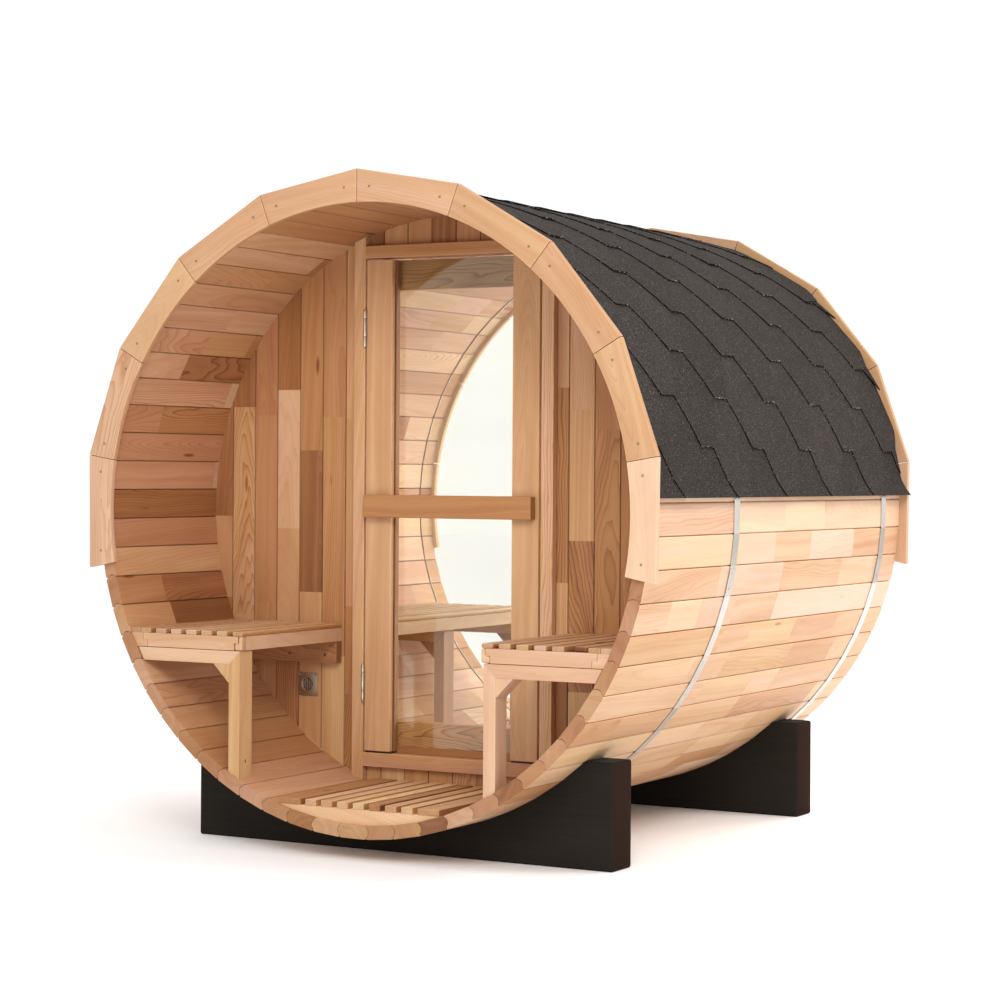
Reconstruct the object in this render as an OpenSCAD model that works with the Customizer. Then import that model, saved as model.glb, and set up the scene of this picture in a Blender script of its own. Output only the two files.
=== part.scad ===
// Barrel sauna: a lying barrel of staves on two cradles, with an open porch, a boarded front wall with
// a glazed door, a round glass back wall and a shingled roof. The front faces -Y and the ground is Z = 0.

/* [Barrel] */
// Distance from the barrel's axis to the flat outer face of a stave
barrel_r = 914; // [850:1:1000]
// Thickness of the staves
stave_t = 38; // [28:1:45]
// Number of staves round the barrel
stave_count = 64; // [56:4:72]
// Length of the staves
stave_len = 1800; // [1700:10:2400]
// Open joint between neighbouring staves
stave_gap = 0.4; // [0.2:0.1:1]
// Eased edge along each stave
stave_ease = 2; // [1:0.5:4]
// Angle round the axis of the first stave joint
joint_angle = 199; // [196:0.5:202]
// Clear height under the lowest stave
ground_gap = 66; // [50:1:90]

/* [Cradles] */
// Width of a cradle across the barrel
cradle_w = 1400; // [1200:10:1500]
// Height of a cradle's horns
cradle_h = 300; // [260:5:340]
// Thickness of a cradle along the barrel
cradle_t = 112; // [60:1:140]
// Distance from a stave end to the outer face of the nearest cradle
cradle_inset = 210; // [150:5:260]

/* [Fascia] */
// Number of flat boards round each end
fascia_count = 10; // [8:1:12]
// Angle that each board spans
fascia_step = 20; // [16:1:22]
// Height of the boards' flat outer faces above the staves
fascia_rise = 27; // [16:0.5:40]
// How far the boards lap inside the inner face of the staves
fascia_lap = 14; // [5:0.5:25]
// Thickness of the boards
fascia_t = 18; // [12:0.5:30]
// Open mitre between neighbouring boards
fascia_gap = 1; // [0.5:0.1:2]

/* [Roof] */
// Thickness of the roofing
roof_t = 8; // [5:0.5:12]
// Height of the eaves above the barrel's axis, as an angle
eave_angle = 2.5; // [0.5:0.1:8]

/* [Hoops] */
// Width of the steel bands
hoop_w = 38; // [15:1:50]
// Thickness of the steel bands
hoop_t = 1; // [0.5:0.1:2]
// Distance from the rear stave ends to the middle of the rear band
rear_hoop_inset = 145; // [60:1:185]

/* [Front wall] */
// Depth of the porch from the front stave ends to the wall
porch_depth = 517; // [450:1:700]
// Thickness of the wall
wall_t = 38; // [28:1:50]

/* [Door frame] */
// How far the door frame stands in front of the wall
frame_proud = 22; // [12:1:30]
// Width of the jambs
jamb_w = 40; // [30:1:55]
// Height of the header
header_h = 38; // [25:1:60]
// Height of the sill
sill_h = 42; // [25:1:60]
// Gap round the door at its hinge side, top and bottom
door_gap = 6; // [5.5:0.5:8]
// Gap at the free side of the door
door_free_gap = 7; // [6.5:0.5:10]
// Height of the wall over the ends of the header
head_gap = 26.5; // [15:0.5:60]
// Height of the wall under the ends of the sill
foot_gap = 40.5; // [20:0.5:90]

/* [Door] */
// Width of the door
door_w = 600; // [540:1:640]
// Width of the stiles
stile_w = 90; // [70:1:120]
// Thickness of the stiles
stile_t = 38; // [28:1:45]
// Height of the rails behind the glass
rail_h = 90; // [60:1:130]
// Thickness of the rails behind the glass
rail_t = 28; // [18:1:32]
// How far the glass and rails stop short of the stiles' outer edges
leaf_inset = 20; // [15:1:30]
// Thickness of the door glass
door_glass_t = 8; // [6:0.5:10]
// Distance from the ends of the handle bar to the edges of the door
handle_end_gap = 10; // [5:1:90]
// Height of the handle bar
handle_h = 68; // [40:1:90]
// Thickness of the handle bar
handle_t = 30; // [20:1:40]
// Height of the handle bar's middle above the ground
handle_z = 988; // [800:1:1200]

/* [Hinges] */
// Height of a hinge
hinge_h = 110; // [80:1:140]
// Radius of the hinge knuckles
hinge_r = 5; // [4:0.5:6]
// Radius of the hinge pins
hinge_pin_r = 2.5; // [1.5:0.1:3]
// Clearance round the hinge pins
hinge_pin_gap = 0.1; // [0.05:0.05:0.3]
// Distance from the door's ends to the nearest hinge
hinge_inset = 150; // [100:1:250]
// Thickness of the hinge leaves
hinge_leaf_t = 2; // [1:0.1:2.4]
// Depth of the hinge leaves
hinge_leaf_d = 28; // [15:1:35]

/* [Vent] */
// Width and height of the vent plate
vent_size = 72; // [50:1:120]
// Thickness of the vent plate
vent_t = 3; // [1.5:0.5:6]
// Radius of the vent's round rim
vent_rim_r = 25; // [15:0.5:25]
// Distance of the vent's middle to the left of the axis
vent_x = 521; // [440:1:600]
// Height of the vent's middle above the ground
vent_z = 437; // [400:1:600]

/* [Benches] */
// Height of the seats above the ground
seat_z = 628; // [580:1:680]
// Gap between the door frame and the benches, seen from the front
bench_door_gap = 51.5; // [20:0.5:75]
// Width of a slat
slat_w = 37; // [25:1:40]
// Gap between slats
slat_gap = 18; // [8:1:30]
// Least gap between the last slat and the staves
slat_wall_gap = 15; // [5:1:40]
// Thickness of a slat
slat_t = 14; // [10:1:25]
// Height of the aprons and of the rails under the slats
seat_rail_h = 40; // [30:1:60]
// Thickness of the aprons and of the rails under the slats
seat_rail_t = 19; // [15:1:30]
// Width of a bench leg
leg_w = 38; // [30:1:60]
// Depth of a bench leg along the barrel
leg_d = 63; // [40:1:90]
// How far the legs stand back from the benches' inner edges
leg_setback = 9; // [3:1:20]
// Length of the gussets' short sides
gusset_l = 54; // [30:1:90]
// Height of the ledgers on the wall
ledger_h = 66; // [40:1:80]
// Thickness of the ledgers on the wall
ledger_t = 30; // [19:1:45]
// Distance from the front stave ends to the porch benches
bench_end_gap = 5; // [2:1:20]
// Distance from the front wall to the first leg of the inner bench
inner_leg_y = 575; // [300:5:700]
// Clear space between the inner bench and the back wall's seal
inner_bench_gap = 27; // [10:1:60]

/* [Duckboards] */
// Number of narrow slats between the two wide ones
floor_slat_count = 7; // [5:1:8]
// Width of the narrow slats
floor_slat_w = 37; // [25:1:45]
// Width of the first and last slats
floor_edge_w = 70; // [40:1:90]
// Gap between the slats
floor_slat_gap = 16.5; // [8:0.5:20]
// Thickness of the slats
floor_slat_t = 18; // [12:1:25]
// Thickness of the bearers under the slats
bearer_t = 30; // [18:1:60]
// Distance from the ends of a duckboard to its outer bearers
bearer_inset = 2; // [0:1:60]
// Distance from the front stave ends to the porch duckboard
porch_floor_gap = 10; // [2:1:40]

/* [Back wall] */
// Thickness of the back wall's glass
rear_glass_t = 8; // [6:0.5:12]
// Distance from the rear stave ends to the middle of the glass
rear_glass_inset = 75; // [40:1:120]
// Width of the seal along the barrel
seal_w = 12; // [10:1:30]
// Height of the seal inside the staves
seal_h = 4; // [3:0.5:20]
// Depth of the seal under the edge of the glass
seal_base = 2; // [1:0.5:5]

/* [Hidden] */
$fn = 180;
clear = 0.5;
far = 3000;
floor_start_angle = 225;
stave_step = 360 / stave_count;
inner_r = barrel_r - stave_t;
axis_z = ground_gap + barrel_r;
front_y = -stave_len / 2;
rear_y = stave_len / 2;
quarter = stave_count / 4;
floor_first = floor((floor_start_angle - joint_angle) / stave_step);
fascia_flat_r = barrel_r + fascia_rise;
fascia_in_r = inner_r - fascia_lap;
wall_y = front_y + porch_depth;
wall_back_y = wall_y + wall_t;
frame_y = wall_y - frame_proud;
frame_d = frame_proud + wall_t;
open_w = door_w + door_gap + door_free_gap;
jamb_in = open_w / 2;
jamb_out = jamb_in + jamb_w;
door_x0 = -jamb_in + door_gap;
door_x1 = door_x0 + door_w;
wall_half_h = sqrt(pow(inner_r, 2) - pow(jamb_in, 2));
header_z = axis_z + wall_half_h - head_gap - header_h;
sill_top = axis_z - wall_half_h + foot_gap + sill_h;
door_top = header_z - door_gap;
door_z = sill_top + door_gap;
glass_y = frame_y + stile_t;
rail_y = glass_y + door_glass_t;
hinge_x = door_x0 - door_gap / 2;
hinge_y = frame_y - hinge_r;
knuckle_h = hinge_h / 3;
bench_x = jamb_out + bench_door_gap;
slat_pitch = slat_w + slat_gap;
seat_rail_top = seat_z - slat_t;
seat_reach = sqrt(pow(inner_r, 2) - pow(axis_z - seat_rail_top, 2)) - slat_wall_gap;
slat_count = floor((seat_reach - bench_x + slat_gap) / slat_pitch);
frame_top = seat_rail_top - seat_rail_h;
leg_x = bench_x + leg_setback;
porch_bench_y = front_y + bench_end_gap;
rear_glass_y = rear_y - rear_glass_inset;
inner_bench_end = rear_glass_y - seal_w / 2 - inner_bench_gap;
floor_slats_w = floor_slat_count * floor_slat_w + (floor_slat_count + 1) * floor_slat_gap;
floor_half_w = floor_edge_w + floor_slats_w / 2;
floor_low = axis_z - sqrt(pow(inner_r - clear, 2) - pow(floor_half_w, 2));
floor_top = floor_low + floor_slat_t;
porch_floor_y = front_y + porch_floor_gap;

// Corners of the many-sided outline whose flats lie at a distance r from the axis, one flat for each stave
function ring_points(r) = [
    for (i = [0 : stave_count - 1])
        let (a = joint_angle + i * stave_step, corner = r / cos(stave_step / 2))
            [corner * cos(a), corner * sin(a)]
];

// Half the width of a wedge of a given angle at a distance r, less half of an open joint
function wedge_half(r, angle, gap) = r * tan(angle / 2) - gap / 2 / cos(angle / 2);

// Extrudes an outline that is drawn round the barrel's axis, from y0 towards the back
module along_y(y0, length)
    translate([0, y0 + length, axis_z])
        rotate([90, 0, 0])
            linear_extrude(length)
                children();

// A rectangle in the outline's plane, with its heights taken from the ground
module upright(x0, x1, z0, z1)
    translate([x0, z0 - axis_z])
        square([x1 - x0, z1 - z0]);

// The outline of the barrel's inside
module inside()
    polygon(ring_points(inner_r));

// A rectangle cut off where it meets the staves
module upright_inside(x0, x1, z0, z1)
    intersection() {
        inside();
        upright(x0, x1, z0, z1);
    }

// A box between two corners
module block(x0, x1, y0, y1, z0, z1)
    translate([x0, y0, z0])
        cube([x1 - x0, y1 - y0, z1 - z0]);

// Draws an outline of the right side, or its mirror image on the left
module on_side(side)
    if (side > 0) children();
    else mirror([1, 0]) children();

module cradle(y0)
    color("#2a2624")
        along_y(y0, cradle_t)
            difference() {
                upright(-cradle_w / 2, cradle_w / 2, 0, cradle_h);
                polygon(ring_points(barrel_r));
            }

module front_cradle() cradle(front_y + cradle_inset);

module rear_cradle() cradle(rear_y - cradle_inset - cradle_t);

module stave_outline() {
    half = [for (r = [inner_r, inner_r + stave_ease, barrel_r - stave_ease, barrel_r])
        wedge_half(r, stave_step, stave_gap)];
    lower = [
        [inner_r, stave_ease - half[0]],
        [inner_r + stave_ease, -half[1]],
        [barrel_r - stave_ease, -half[2]],
        [barrel_r, stave_ease - half[3]]
    ];
    upper = [for (i = [3 : -1 : 0]) [lower[i][0], -lower[i][1]]];
    polygon(concat(lower, upper));
}

// A quarter of the staves, starting at a stave's number round the barrel
module stave_group(first)
    color("#e0b083")
        along_y(front_y, stave_len)
            for (i = [first : first + quarter - 1])
                rotate(joint_angle + (i + 0.5) * stave_step)
                    stave_outline();

module floor_staves() stave_group(floor_first);

module right_staves() stave_group(floor_first + quarter);

module roof_staves() stave_group(floor_first + 2 * quarter);

module left_staves() stave_group(floor_first + 3 * quarter);

module hoop(y_mid)
    color("#cfd0d0")
        along_y(y_mid - hoop_w / 2, hoop_w)
            difference() {
                polygon(ring_points(barrel_r + hoop_t));
                polygon(ring_points(barrel_r));
            }

module front_hoop() hoop(wall_y + wall_t / 2);

module rear_hoop() hoop(rear_y - rear_hoop_inset);

module fascia_board() {
    low_r = fascia_in_r * cos(fascia_step);
    low_half = wedge_half(low_r, fascia_step, fascia_gap);
    top_half = wedge_half(fascia_flat_r, fascia_step, fascia_gap);
    difference() {
        polygon([
            [low_r, -low_half], [fascia_flat_r, -top_half],
            [fascia_flat_r, top_half], [low_r, low_half]
        ]);
        circle(r = fascia_in_r);
    }
}

// The boards stand evenly on both sides of the barrel's top
module fascia(y0)
    color("#e5b98a")
        along_y(y0, fascia_t)
            for (i = [0 : fascia_count - 1])
                rotate(90 + (i - (fascia_count - 1) / 2) * fascia_step)
                    fascia_board();

module front_fascia() fascia(front_y - fascia_t);

module rear_fascia() fascia(rear_y);

module roof_shingles()
    color("#3d3b3a")
        along_y(front_y, stave_len)
            intersection() {
                difference() {
                    polygon(ring_points(barrel_r + hoop_t + roof_t));
                    polygon(ring_points(barrel_r + hoop_t));
                }
                polygon([
                    [0, 0], [far * cos(eave_angle), far * sin(eave_angle)], [far, far],
                    [-far, far], [-far * cos(eave_angle), far * sin(eave_angle)]
                ]);
            }

module wall_piece(x0, x1, z0, z1)
    color("#c98f61")
        along_y(wall_y, wall_t)
            upright_inside(x0, x1, z0, z1);

module front_wall_left() wall_piece(-far, -jamb_out, -far, far);

module front_wall_right() wall_piece(jamb_out, far, -far, far);

module front_wall_over_door() wall_piece(-jamb_in, jamb_in, header_z + header_h, far);

module front_wall_under_door() wall_piece(-jamb_in, jamb_in, -far, sill_top - sill_h);

module door_jambs()
    color("#d19a6c")
        along_y(frame_y, frame_d)
            for (x0 = [-jamb_out, jamb_in])
                upright_inside(x0, x0 + jamb_w, -far, far);

module door_header()
    color("#c08353")
        along_y(frame_y, frame_d)
            upright_inside(-jamb_in, jamb_in, header_z, header_z + header_h);

module door_sill()
    color("#c5855a")
        along_y(frame_y, frame_d)
            upright_inside(-jamb_in, jamb_in, sill_top - sill_h, sill_top);

module door_stiles()
    color("#d9a778")
        for (x0 = [door_x0, door_x1 - stile_w])
            block(x0, x0 + stile_w, frame_y, frame_y + stile_t, door_z, door_top);

module door_rails()
    color("#b89a6c")
        for (z0 = [door_z, door_top - rail_h])
            block(door_x0 + leaf_inset, door_x1 - leaf_inset, rail_y, rail_y + rail_t, z0, z0 + rail_h);

module door_glass()
    color("#d8e4df", 0.3)
        block(door_x0 + leaf_inset, door_x1 - leaf_inset, glass_y, glass_y + door_glass_t, door_z, door_top);

module door_handle()
    color("#b5763f")
        block(door_x0 + handle_end_gap, door_x1 - handle_end_gap,
            frame_y - handle_t, frame_y, handle_z - handle_h / 2, handle_z + handle_h / 2);

// Lower ends of the two hinges
function hinge_starts() = [door_z + hinge_inset, door_top - hinge_inset - hinge_h];

// The leaf of a hinge lies in the gap beside the door, and a web joins it to its own knuckle
module hinge_leaf(x0, z0)
    block(x0, x0 + hinge_leaf_t, frame_y + clear, frame_y + hinge_leaf_d, z0, z0 + hinge_h);

module hinge_web(x0, z0)
    block(x0, x0 + hinge_leaf_t, hinge_y, frame_y + 2 * clear, z0 + clear, z0 + knuckle_h - clear);

module hinge_jamb_leaves()
    color("#c9c9c6")
        for (z0 = hinge_starts()) {
            hinge_leaf(-jamb_in, z0);
            translate([hinge_x, hinge_y, z0])
                cylinder(r = hinge_pin_r, h = hinge_h);
            for (z1 = [z0, z0 + 2 * knuckle_h]) {
                hinge_web(-jamb_in, z1);
                translate([hinge_x, hinge_y, z1])
                    cylinder(r = hinge_r, h = knuckle_h);
            }
        }

module hinge_door_leaves()
    color("#c9c9c6")
        for (z0 = hinge_starts())
            difference() {
                union() {
                    hinge_leaf(door_x0 - hinge_leaf_t, z0);
                    hinge_web(door_x0 - hinge_leaf_t, z0 + knuckle_h);
                    translate([hinge_x, hinge_y, z0 + knuckle_h + clear])
                        cylinder(r = hinge_r, h = knuckle_h - 2 * clear);
                }
                translate([hinge_x, hinge_y, z0])
                    cylinder(r = hinge_pin_r + hinge_pin_gap, h = hinge_h);
            }

module wall_vent()
    color("#b9b7b0") {
        along_y(wall_y - vent_t, vent_t)
            translate([-vent_x, vent_z - axis_z])
                square(vent_size, center = true);
        along_y(wall_y - 2 * vent_t, vent_t)
            translate([-vent_x, vent_z - axis_z])
                circle(r = vent_rim_r);
    }

// Slats of a seat between two distances along the barrel
module seat_slats(side, y0, y1)
    color("#dcb287")
        for (i = [0 : slat_count - 1]) {
            x0 = bench_x + i * slat_pitch;
            along_y(y0, y1 - y0)
                on_side(side)
                    upright(x0, x0 + slat_w, seat_z - slat_t, seat_z);
        }

// The apron runs along the seat's inner edge, under its first slat
module seat_apron(side, y0, y1)
    color("#dfb68b")
        along_y(y0, y1 - y0)
            on_side(side)
                upright(bench_x, bench_x + seat_rail_t, frame_top, seat_rail_top);

// A board of the right or left side that runs out to the staves
module side_board(side, y0, thickness, x0, z0, z1)
    along_y(y0, thickness)
        intersection() {
            inside();
            on_side(side)
                upright(x0, far, z0, z1);
        }

module seat_rails(side, y0, y1)
    color("#e0b68c")
        for (y = [y0, y1 - seat_rail_t])
            side_board(side, y, seat_rail_t, bench_x + seat_rail_t, frame_top, seat_rail_top);

module seat_ledger(side, y0)
    color("#b97f52")
        side_board(side, y0, ledger_t, bench_x + clear, frame_top - ledger_h, frame_top);

// A leg, mitred at its top into the rail that runs out to the staves
module seat_leg(side, y0)
    color("#dcae7e")
        along_y(y0, leg_d)
            intersection() {
                inside();
                on_side(side)
                    polygon([
                        [leg_x, -axis_z], [leg_x + leg_w, -axis_z],
                        [leg_x + leg_w, frame_top - leg_w - axis_z], [leg_x, frame_top - axis_z]
                    ]);
            }

module seat_leg_rail(side, y0)
    color("#e3b68b")
        along_y(y0, leg_d)
            intersection() {
                inside();
                on_side(side)
                    polygon([
                        [leg_x, frame_top - axis_z], [leg_x + leg_w, frame_top - leg_w - axis_z],
                        [far, frame_top - leg_w - axis_z], [far, frame_top - axis_z]
                    ]);
            }

module seat_gusset(side, y0)
    color("#cf9f6e")
        along_y(y0, leg_d)
            on_side(side)
                translate([leg_x + leg_w, frame_top - leg_w - axis_z])
                    polygon([[0, 0], [gusset_l, 0], [0, -gusset_l]]);

module porch_bench_slats() for (side = [-1, 1]) seat_slats(side, porch_bench_y, wall_y);

module porch_bench_rails() for (side = [-1, 1]) seat_rails(side, porch_bench_y, wall_y);

module porch_bench_aprons() for (side = [-1, 1]) seat_apron(side, porch_bench_y, wall_y);

module porch_bench_ledgers() for (side = [-1, 1]) seat_ledger(side, wall_y - ledger_t);

module porch_bench_legs() for (side = [-1, 1]) seat_leg(side, porch_bench_y);

module porch_bench_leg_rails() for (side = [-1, 1]) seat_leg_rail(side, porch_bench_y);

module porch_bench_gussets() for (side = [-1, 1]) seat_gusset(side, porch_bench_y);

// Front faces of the inner bench's two leg frames
function inner_leg_starts() = [wall_back_y + inner_leg_y, inner_bench_end - leg_d];

module inner_bench_slats() seat_slats(-1, wall_back_y, inner_bench_end);

module inner_bench_rails() seat_rails(-1, wall_back_y, inner_bench_end);

module inner_bench_apron() seat_apron(-1, wall_back_y, inner_bench_end);

module inner_bench_ledger() seat_ledger(-1, wall_back_y);

module inner_bench_legs() for (y = inner_leg_starts()) seat_leg(-1, y);

module inner_bench_leg_rails() for (y = inner_leg_starts()) seat_leg_rail(-1, y);

module inner_bench_gussets() for (y = inner_leg_starts()) seat_gusset(-1, y);

// Distance of a floor slat's left edge from the axis, counted from the wide slat on the left
function floor_slat_x(i) = -floor_half_w
    + (i == 0 ? 0 : floor_edge_w + floor_slat_gap + (i - 1) * (floor_slat_w + floor_slat_gap));

module floor_slats(y0, y1)
    color("#c99a68")
        for (i = [0 : floor_slat_count + 1]) {
            edge = i == 0 || i == floor_slat_count + 1;
            block(floor_slat_x(i), floor_slat_x(i) + (edge ? floor_edge_w : floor_slat_w),
                y0, y1, floor_low, floor_top);
        }

// Bearers fill the space between the slats and the round floor
module floor_bearers(starts)
    color("#dcae80")
        for (y = starts)
            along_y(y, bearer_t)
                upright_inside(-far, far, -far, floor_low);

module porch_floor_slats() floor_slats(porch_floor_y, wall_y);

module porch_floor_bearers()
    floor_bearers([porch_floor_y + bearer_inset, wall_y - bearer_inset - bearer_t]);

module inner_floor_slats() floor_slats(wall_back_y, inner_bench_end);

module inner_floor_bearers()
    floor_bearers([
        wall_back_y + bearer_inset,
        (wall_back_y + inner_bench_end - bearer_t) / 2,
        inner_bench_end - bearer_inset - bearer_t
    ]);

module rear_glass_outline()
    polygon(ring_points(inner_r - seal_base));

module rear_glass()
    color("#dfe9e4", 0.25)
        along_y(rear_glass_y - rear_glass_t / 2, rear_glass_t)
            rear_glass_outline();

// A round channel that holds the edge of the glass
module rear_glass_seal()
    color("#20201f")
        difference() {
            along_y(rear_glass_y - seal_w / 2, seal_w)
                difference() {
                    inside();
                    polygon(ring_points(inner_r - seal_h));
                }
            along_y(rear_glass_y - rear_glass_t / 2, rear_glass_t)
                rear_glass_outline();
        }

front_cradle();
rear_cradle();
floor_staves();
right_staves();
roof_staves();
left_staves();
front_hoop();
rear_hoop();
front_fascia();
rear_fascia();
roof_shingles();
front_wall_left();
front_wall_right();
front_wall_over_door();
front_wall_under_door();
door_jambs();
door_header();
door_sill();
door_stiles();
door_rails();
door_glass();
door_handle();
hinge_jamb_leaves();
hinge_door_leaves();
wall_vent();
porch_bench_slats();
porch_bench_rails();
porch_bench_aprons();
porch_bench_ledgers();
porch_bench_legs();
porch_bench_leg_rails();
porch_bench_gussets();
inner_bench_slats();
inner_bench_rails();
inner_bench_apron();
inner_bench_ledger();
inner_bench_legs();
inner_bench_leg_rails();
inner_bench_gussets();
porch_floor_slats();
porch_floor_bearers();
inner_floor_slats();
inner_floor_bearers();
rear_glass();
rear_glass_seal();
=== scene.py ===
import math
import random

import bpy
import numpy as np
from mathutils import Matrix, Vector


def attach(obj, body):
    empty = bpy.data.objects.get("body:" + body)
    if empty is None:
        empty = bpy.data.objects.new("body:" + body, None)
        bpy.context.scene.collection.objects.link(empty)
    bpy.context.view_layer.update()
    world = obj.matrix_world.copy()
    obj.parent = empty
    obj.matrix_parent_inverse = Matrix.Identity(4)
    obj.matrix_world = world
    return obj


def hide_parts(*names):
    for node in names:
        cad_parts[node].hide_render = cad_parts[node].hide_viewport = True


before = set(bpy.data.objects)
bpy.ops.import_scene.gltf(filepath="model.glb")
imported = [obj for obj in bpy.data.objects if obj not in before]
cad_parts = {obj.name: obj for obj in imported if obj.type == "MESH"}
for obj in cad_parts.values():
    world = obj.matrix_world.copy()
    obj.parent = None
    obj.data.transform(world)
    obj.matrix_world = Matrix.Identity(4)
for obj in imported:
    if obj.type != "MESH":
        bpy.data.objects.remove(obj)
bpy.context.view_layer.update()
print("frame loaded:", len(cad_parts), "nodes")

# The barrel's own lines, in metres: its axis runs along Y, the porch faces -Y
barrel = {
    "axisZ": 0.980, "outerR": 0.914, "innerR": 0.876, "frontY": -0.900, "rearY": 0.900, "staves": 64,
    "firstJoint": 199.0, "wallY": -0.383, "wallBackY": -0.345, "frameY": -0.405,
    "past": 0.9, "toolLength": 2.4, "boreRoom": 0.0015, "looseRoom": -0.0035, "drumRoom": 0.0005,
}
axisZ, past = barrel["axisZ"], barrel["past"]  # boards run past the staves, then are cut back to them
wallY, wallBackY, frameY = barrel["wallY"], barrel["wallBackY"], barrel["frameY"]
staveAngle = 360 / barrel["staves"]
cornerTurn = barrel["firstJoint"] % staveAngle
hair = 0.0002  # keeps two faces from lying in one plane
bpy.context.tool_settings.mesh_select_mode = (False, False, True)


def clearSelection():
    if bpy.context.object and bpy.context.object.mode != "OBJECT":
        bpy.ops.object.mode_set(mode="OBJECT")
    bpy.ops.object.select_all(action="DESELECT")


def makeActive(ob):
    clearSelection()
    ob.select_set(True)
    bpy.context.view_layer.objects.active = ob


def editAll(ob):
    makeActive(ob)
    bpy.ops.object.mode_set(mode="EDIT")
    bpy.ops.mesh.select_all(action="SELECT")


def backToObject():
    bpy.ops.object.mode_set(mode="OBJECT")


def easeEdges(ob, width, segments=2, angle=30):
    makeActive(ob)
    ease = ob.modifiers.new("ease", "BEVEL")
    ease.width, ease.segments = width, segments
    ease.limit_method, ease.angle_limit = "ANGLE", math.radians(angle)
    bpy.ops.object.modifier_apply(modifier="ease")


def boxPiece(low, high, ease=0.0, segments=2):
    low, high = Vector(low), Vector(high)
    clearSelection()
    bpy.ops.mesh.primitive_cube_add(size=1, location=(low + high) / 2)
    ob = bpy.context.object
    ob.scale = high - low
    bpy.ops.object.transform_apply(location=True, rotation=True, scale=True)
    if ease:
        easeEdges(ob, ease, segments)
    return ob


def outlinePiece(points, steps):
    # a filled circle whose points are moved onto the outline, then extruded step by step
    clearSelection()
    bpy.ops.mesh.primitive_circle_add(vertices=len(points), fill_type="NGON")
    ob = bpy.context.object
    for vertex, point in zip(ob.data.vertices, points):
        vertex.co = point
    editAll(ob)
    for step in steps:
        bpy.ops.mesh.extrude_region_move(TRANSFORM_OT_translate={"value": step})
    bpy.ops.mesh.select_all(action="SELECT")
    bpy.ops.mesh.normals_make_consistent(inside=False)
    backToObject()
    return ob


def tubePiece(centre, radius, depth, sides, axis="Y", fill="NGON"):
    turn = {"X": (0, math.pi / 2, 0), "Y": (math.pi / 2, 0, 0), "Z": (0, 0, 0)}[axis]
    clearSelection()
    bpy.ops.mesh.primitive_cylinder_add(
        vertices=sides, radius=radius, depth=depth, location=centre, rotation=turn, end_fill_type=fill)
    bpy.ops.object.transform_apply(location=True, rotation=True, scale=True)
    return bpy.context.object


def carve(ob, tool, operation):
    makeActive(ob)
    cutter = ob.modifiers.new("carve", "BOOLEAN")
    cutter.object, cutter.operation, cutter.solver = tool, operation, "EXACT"
    bpy.ops.object.modifier_apply(modifier="carve")


def trim(ob, point, outward):
    editAll(ob)
    bpy.ops.mesh.bisect(plane_co=point, plane_no=outward, use_fill=True, clear_outer=True)
    backToObject()


def scoreAcross(ob, places, direction):
    # edge loops where one block of a board ends and the next begins
    editAll(ob)
    for place in places:
        bpy.ops.mesh.select_all(action="SELECT")
        bpy.ops.mesh.bisect(plane_co=Vector(direction) * place, plane_no=direction)
    backToObject()


def insetEnd(ob, facing, *insets):
    # insets the end that faces along Y, once for each (width, depth)
    editAll(ob)
    bpy.ops.mesh.select_all(action="DESELECT")
    backToObject()
    for face in ob.data.polygons:
        face.select = face.normal.y * facing > 0.9
    bpy.ops.object.mode_set(mode="EDIT")
    for width, depth in insets:
        bpy.ops.mesh.inset(thickness=width, depth=depth)
    backToObject()


def copyOf(ob, matrix=Matrix.Identity(4)):
    twin = ob.copy()
    twin.data = ob.data.copy()
    twin.data.transform(matrix)
    bpy.context.scene.collection.objects.link(twin)
    return twin


def joinAll(name, parts):
    clearSelection()
    for part in parts:
        part.select_set(True)
    bpy.context.view_layer.objects.active = parts[0]
    if len(parts) > 1:
        bpy.ops.object.join()
    parts[0].name = parts[0].data.name = name
    return parts[0]


def drop(*obs):
    for ob in obs:
        bpy.data.objects.remove(ob)


def placePiece(name, parts, node, material, body="sauna", smooth=0):
    whole = joinAll(name, parts)
    if smooth:
        bpy.ops.object.shade_smooth_by_angle(angle=math.radians(smooth))
    whole.data.materials.clear()
    whole.data.materials.append(material)
    if node:
        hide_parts(node)
    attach(whole, body)


def roundAxis(degrees):
    centre = Matrix.Translation((0, 0, axisZ))
    return centre @ Matrix.Rotation(math.radians(-degrees), 4, "Y") @ centre.inverted()


def facetedDrum(radius, length, y=0.0, fill="NGON"):
    # one flat for each stave, at this distance from the axis
    cornerR = radius / math.cos(math.radians(staveAngle / 2))
    ob = tubePiece((0, y, axisZ), cornerR, length, barrel["staves"], fill=fill)
    ob.data.transform(roundAxis(cornerTurn))
    return ob


def facetedRing(radius, width, y, thickness, offset):
    ring = facetedDrum(radius, width, y, "NOTHING")
    makeActive(ring)
    skin = ring.modifiers.new("skin", "SOLIDIFY")
    skin.thickness, skin.offset = thickness, offset
    bpy.ops.object.modifier_apply(modifier="skin")
    return ring


# Cutting tools: boards inside the barrel are cut to the bore, the cradles to the drum
bore = facetedDrum(barrel["innerR"] + barrel["boreRoom"], barrel["toolLength"])
looseBore = facetedDrum(barrel["innerR"] + barrel["looseRoom"], barrel["toolLength"])
drum = facetedDrum(barrel["outerR"] + barrel["drumRoom"], barrel["toolLength"])


def meshArray(items, field, width, kind=np.float32):
    values = np.empty(len(items) * width, kind)
    items.foreach_get(field, values)
    return values.reshape(-1, width) if width > 1 else values


def faceNormals(mesh):
    return meshArray(mesh.polygons, "normal", 3)


def cornerPoints(mesh):
    return meshArray(mesh.loops, "vertex_index", 1, np.int32)


def tagFaces(mesh, name, values):
    layer = mesh.attributes.get(name) or mesh.attributes.new(name, "FLOAT", "FACE")
    layer.data.foreach_set("value", np.ascontiguousarray(values, np.float32))


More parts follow.
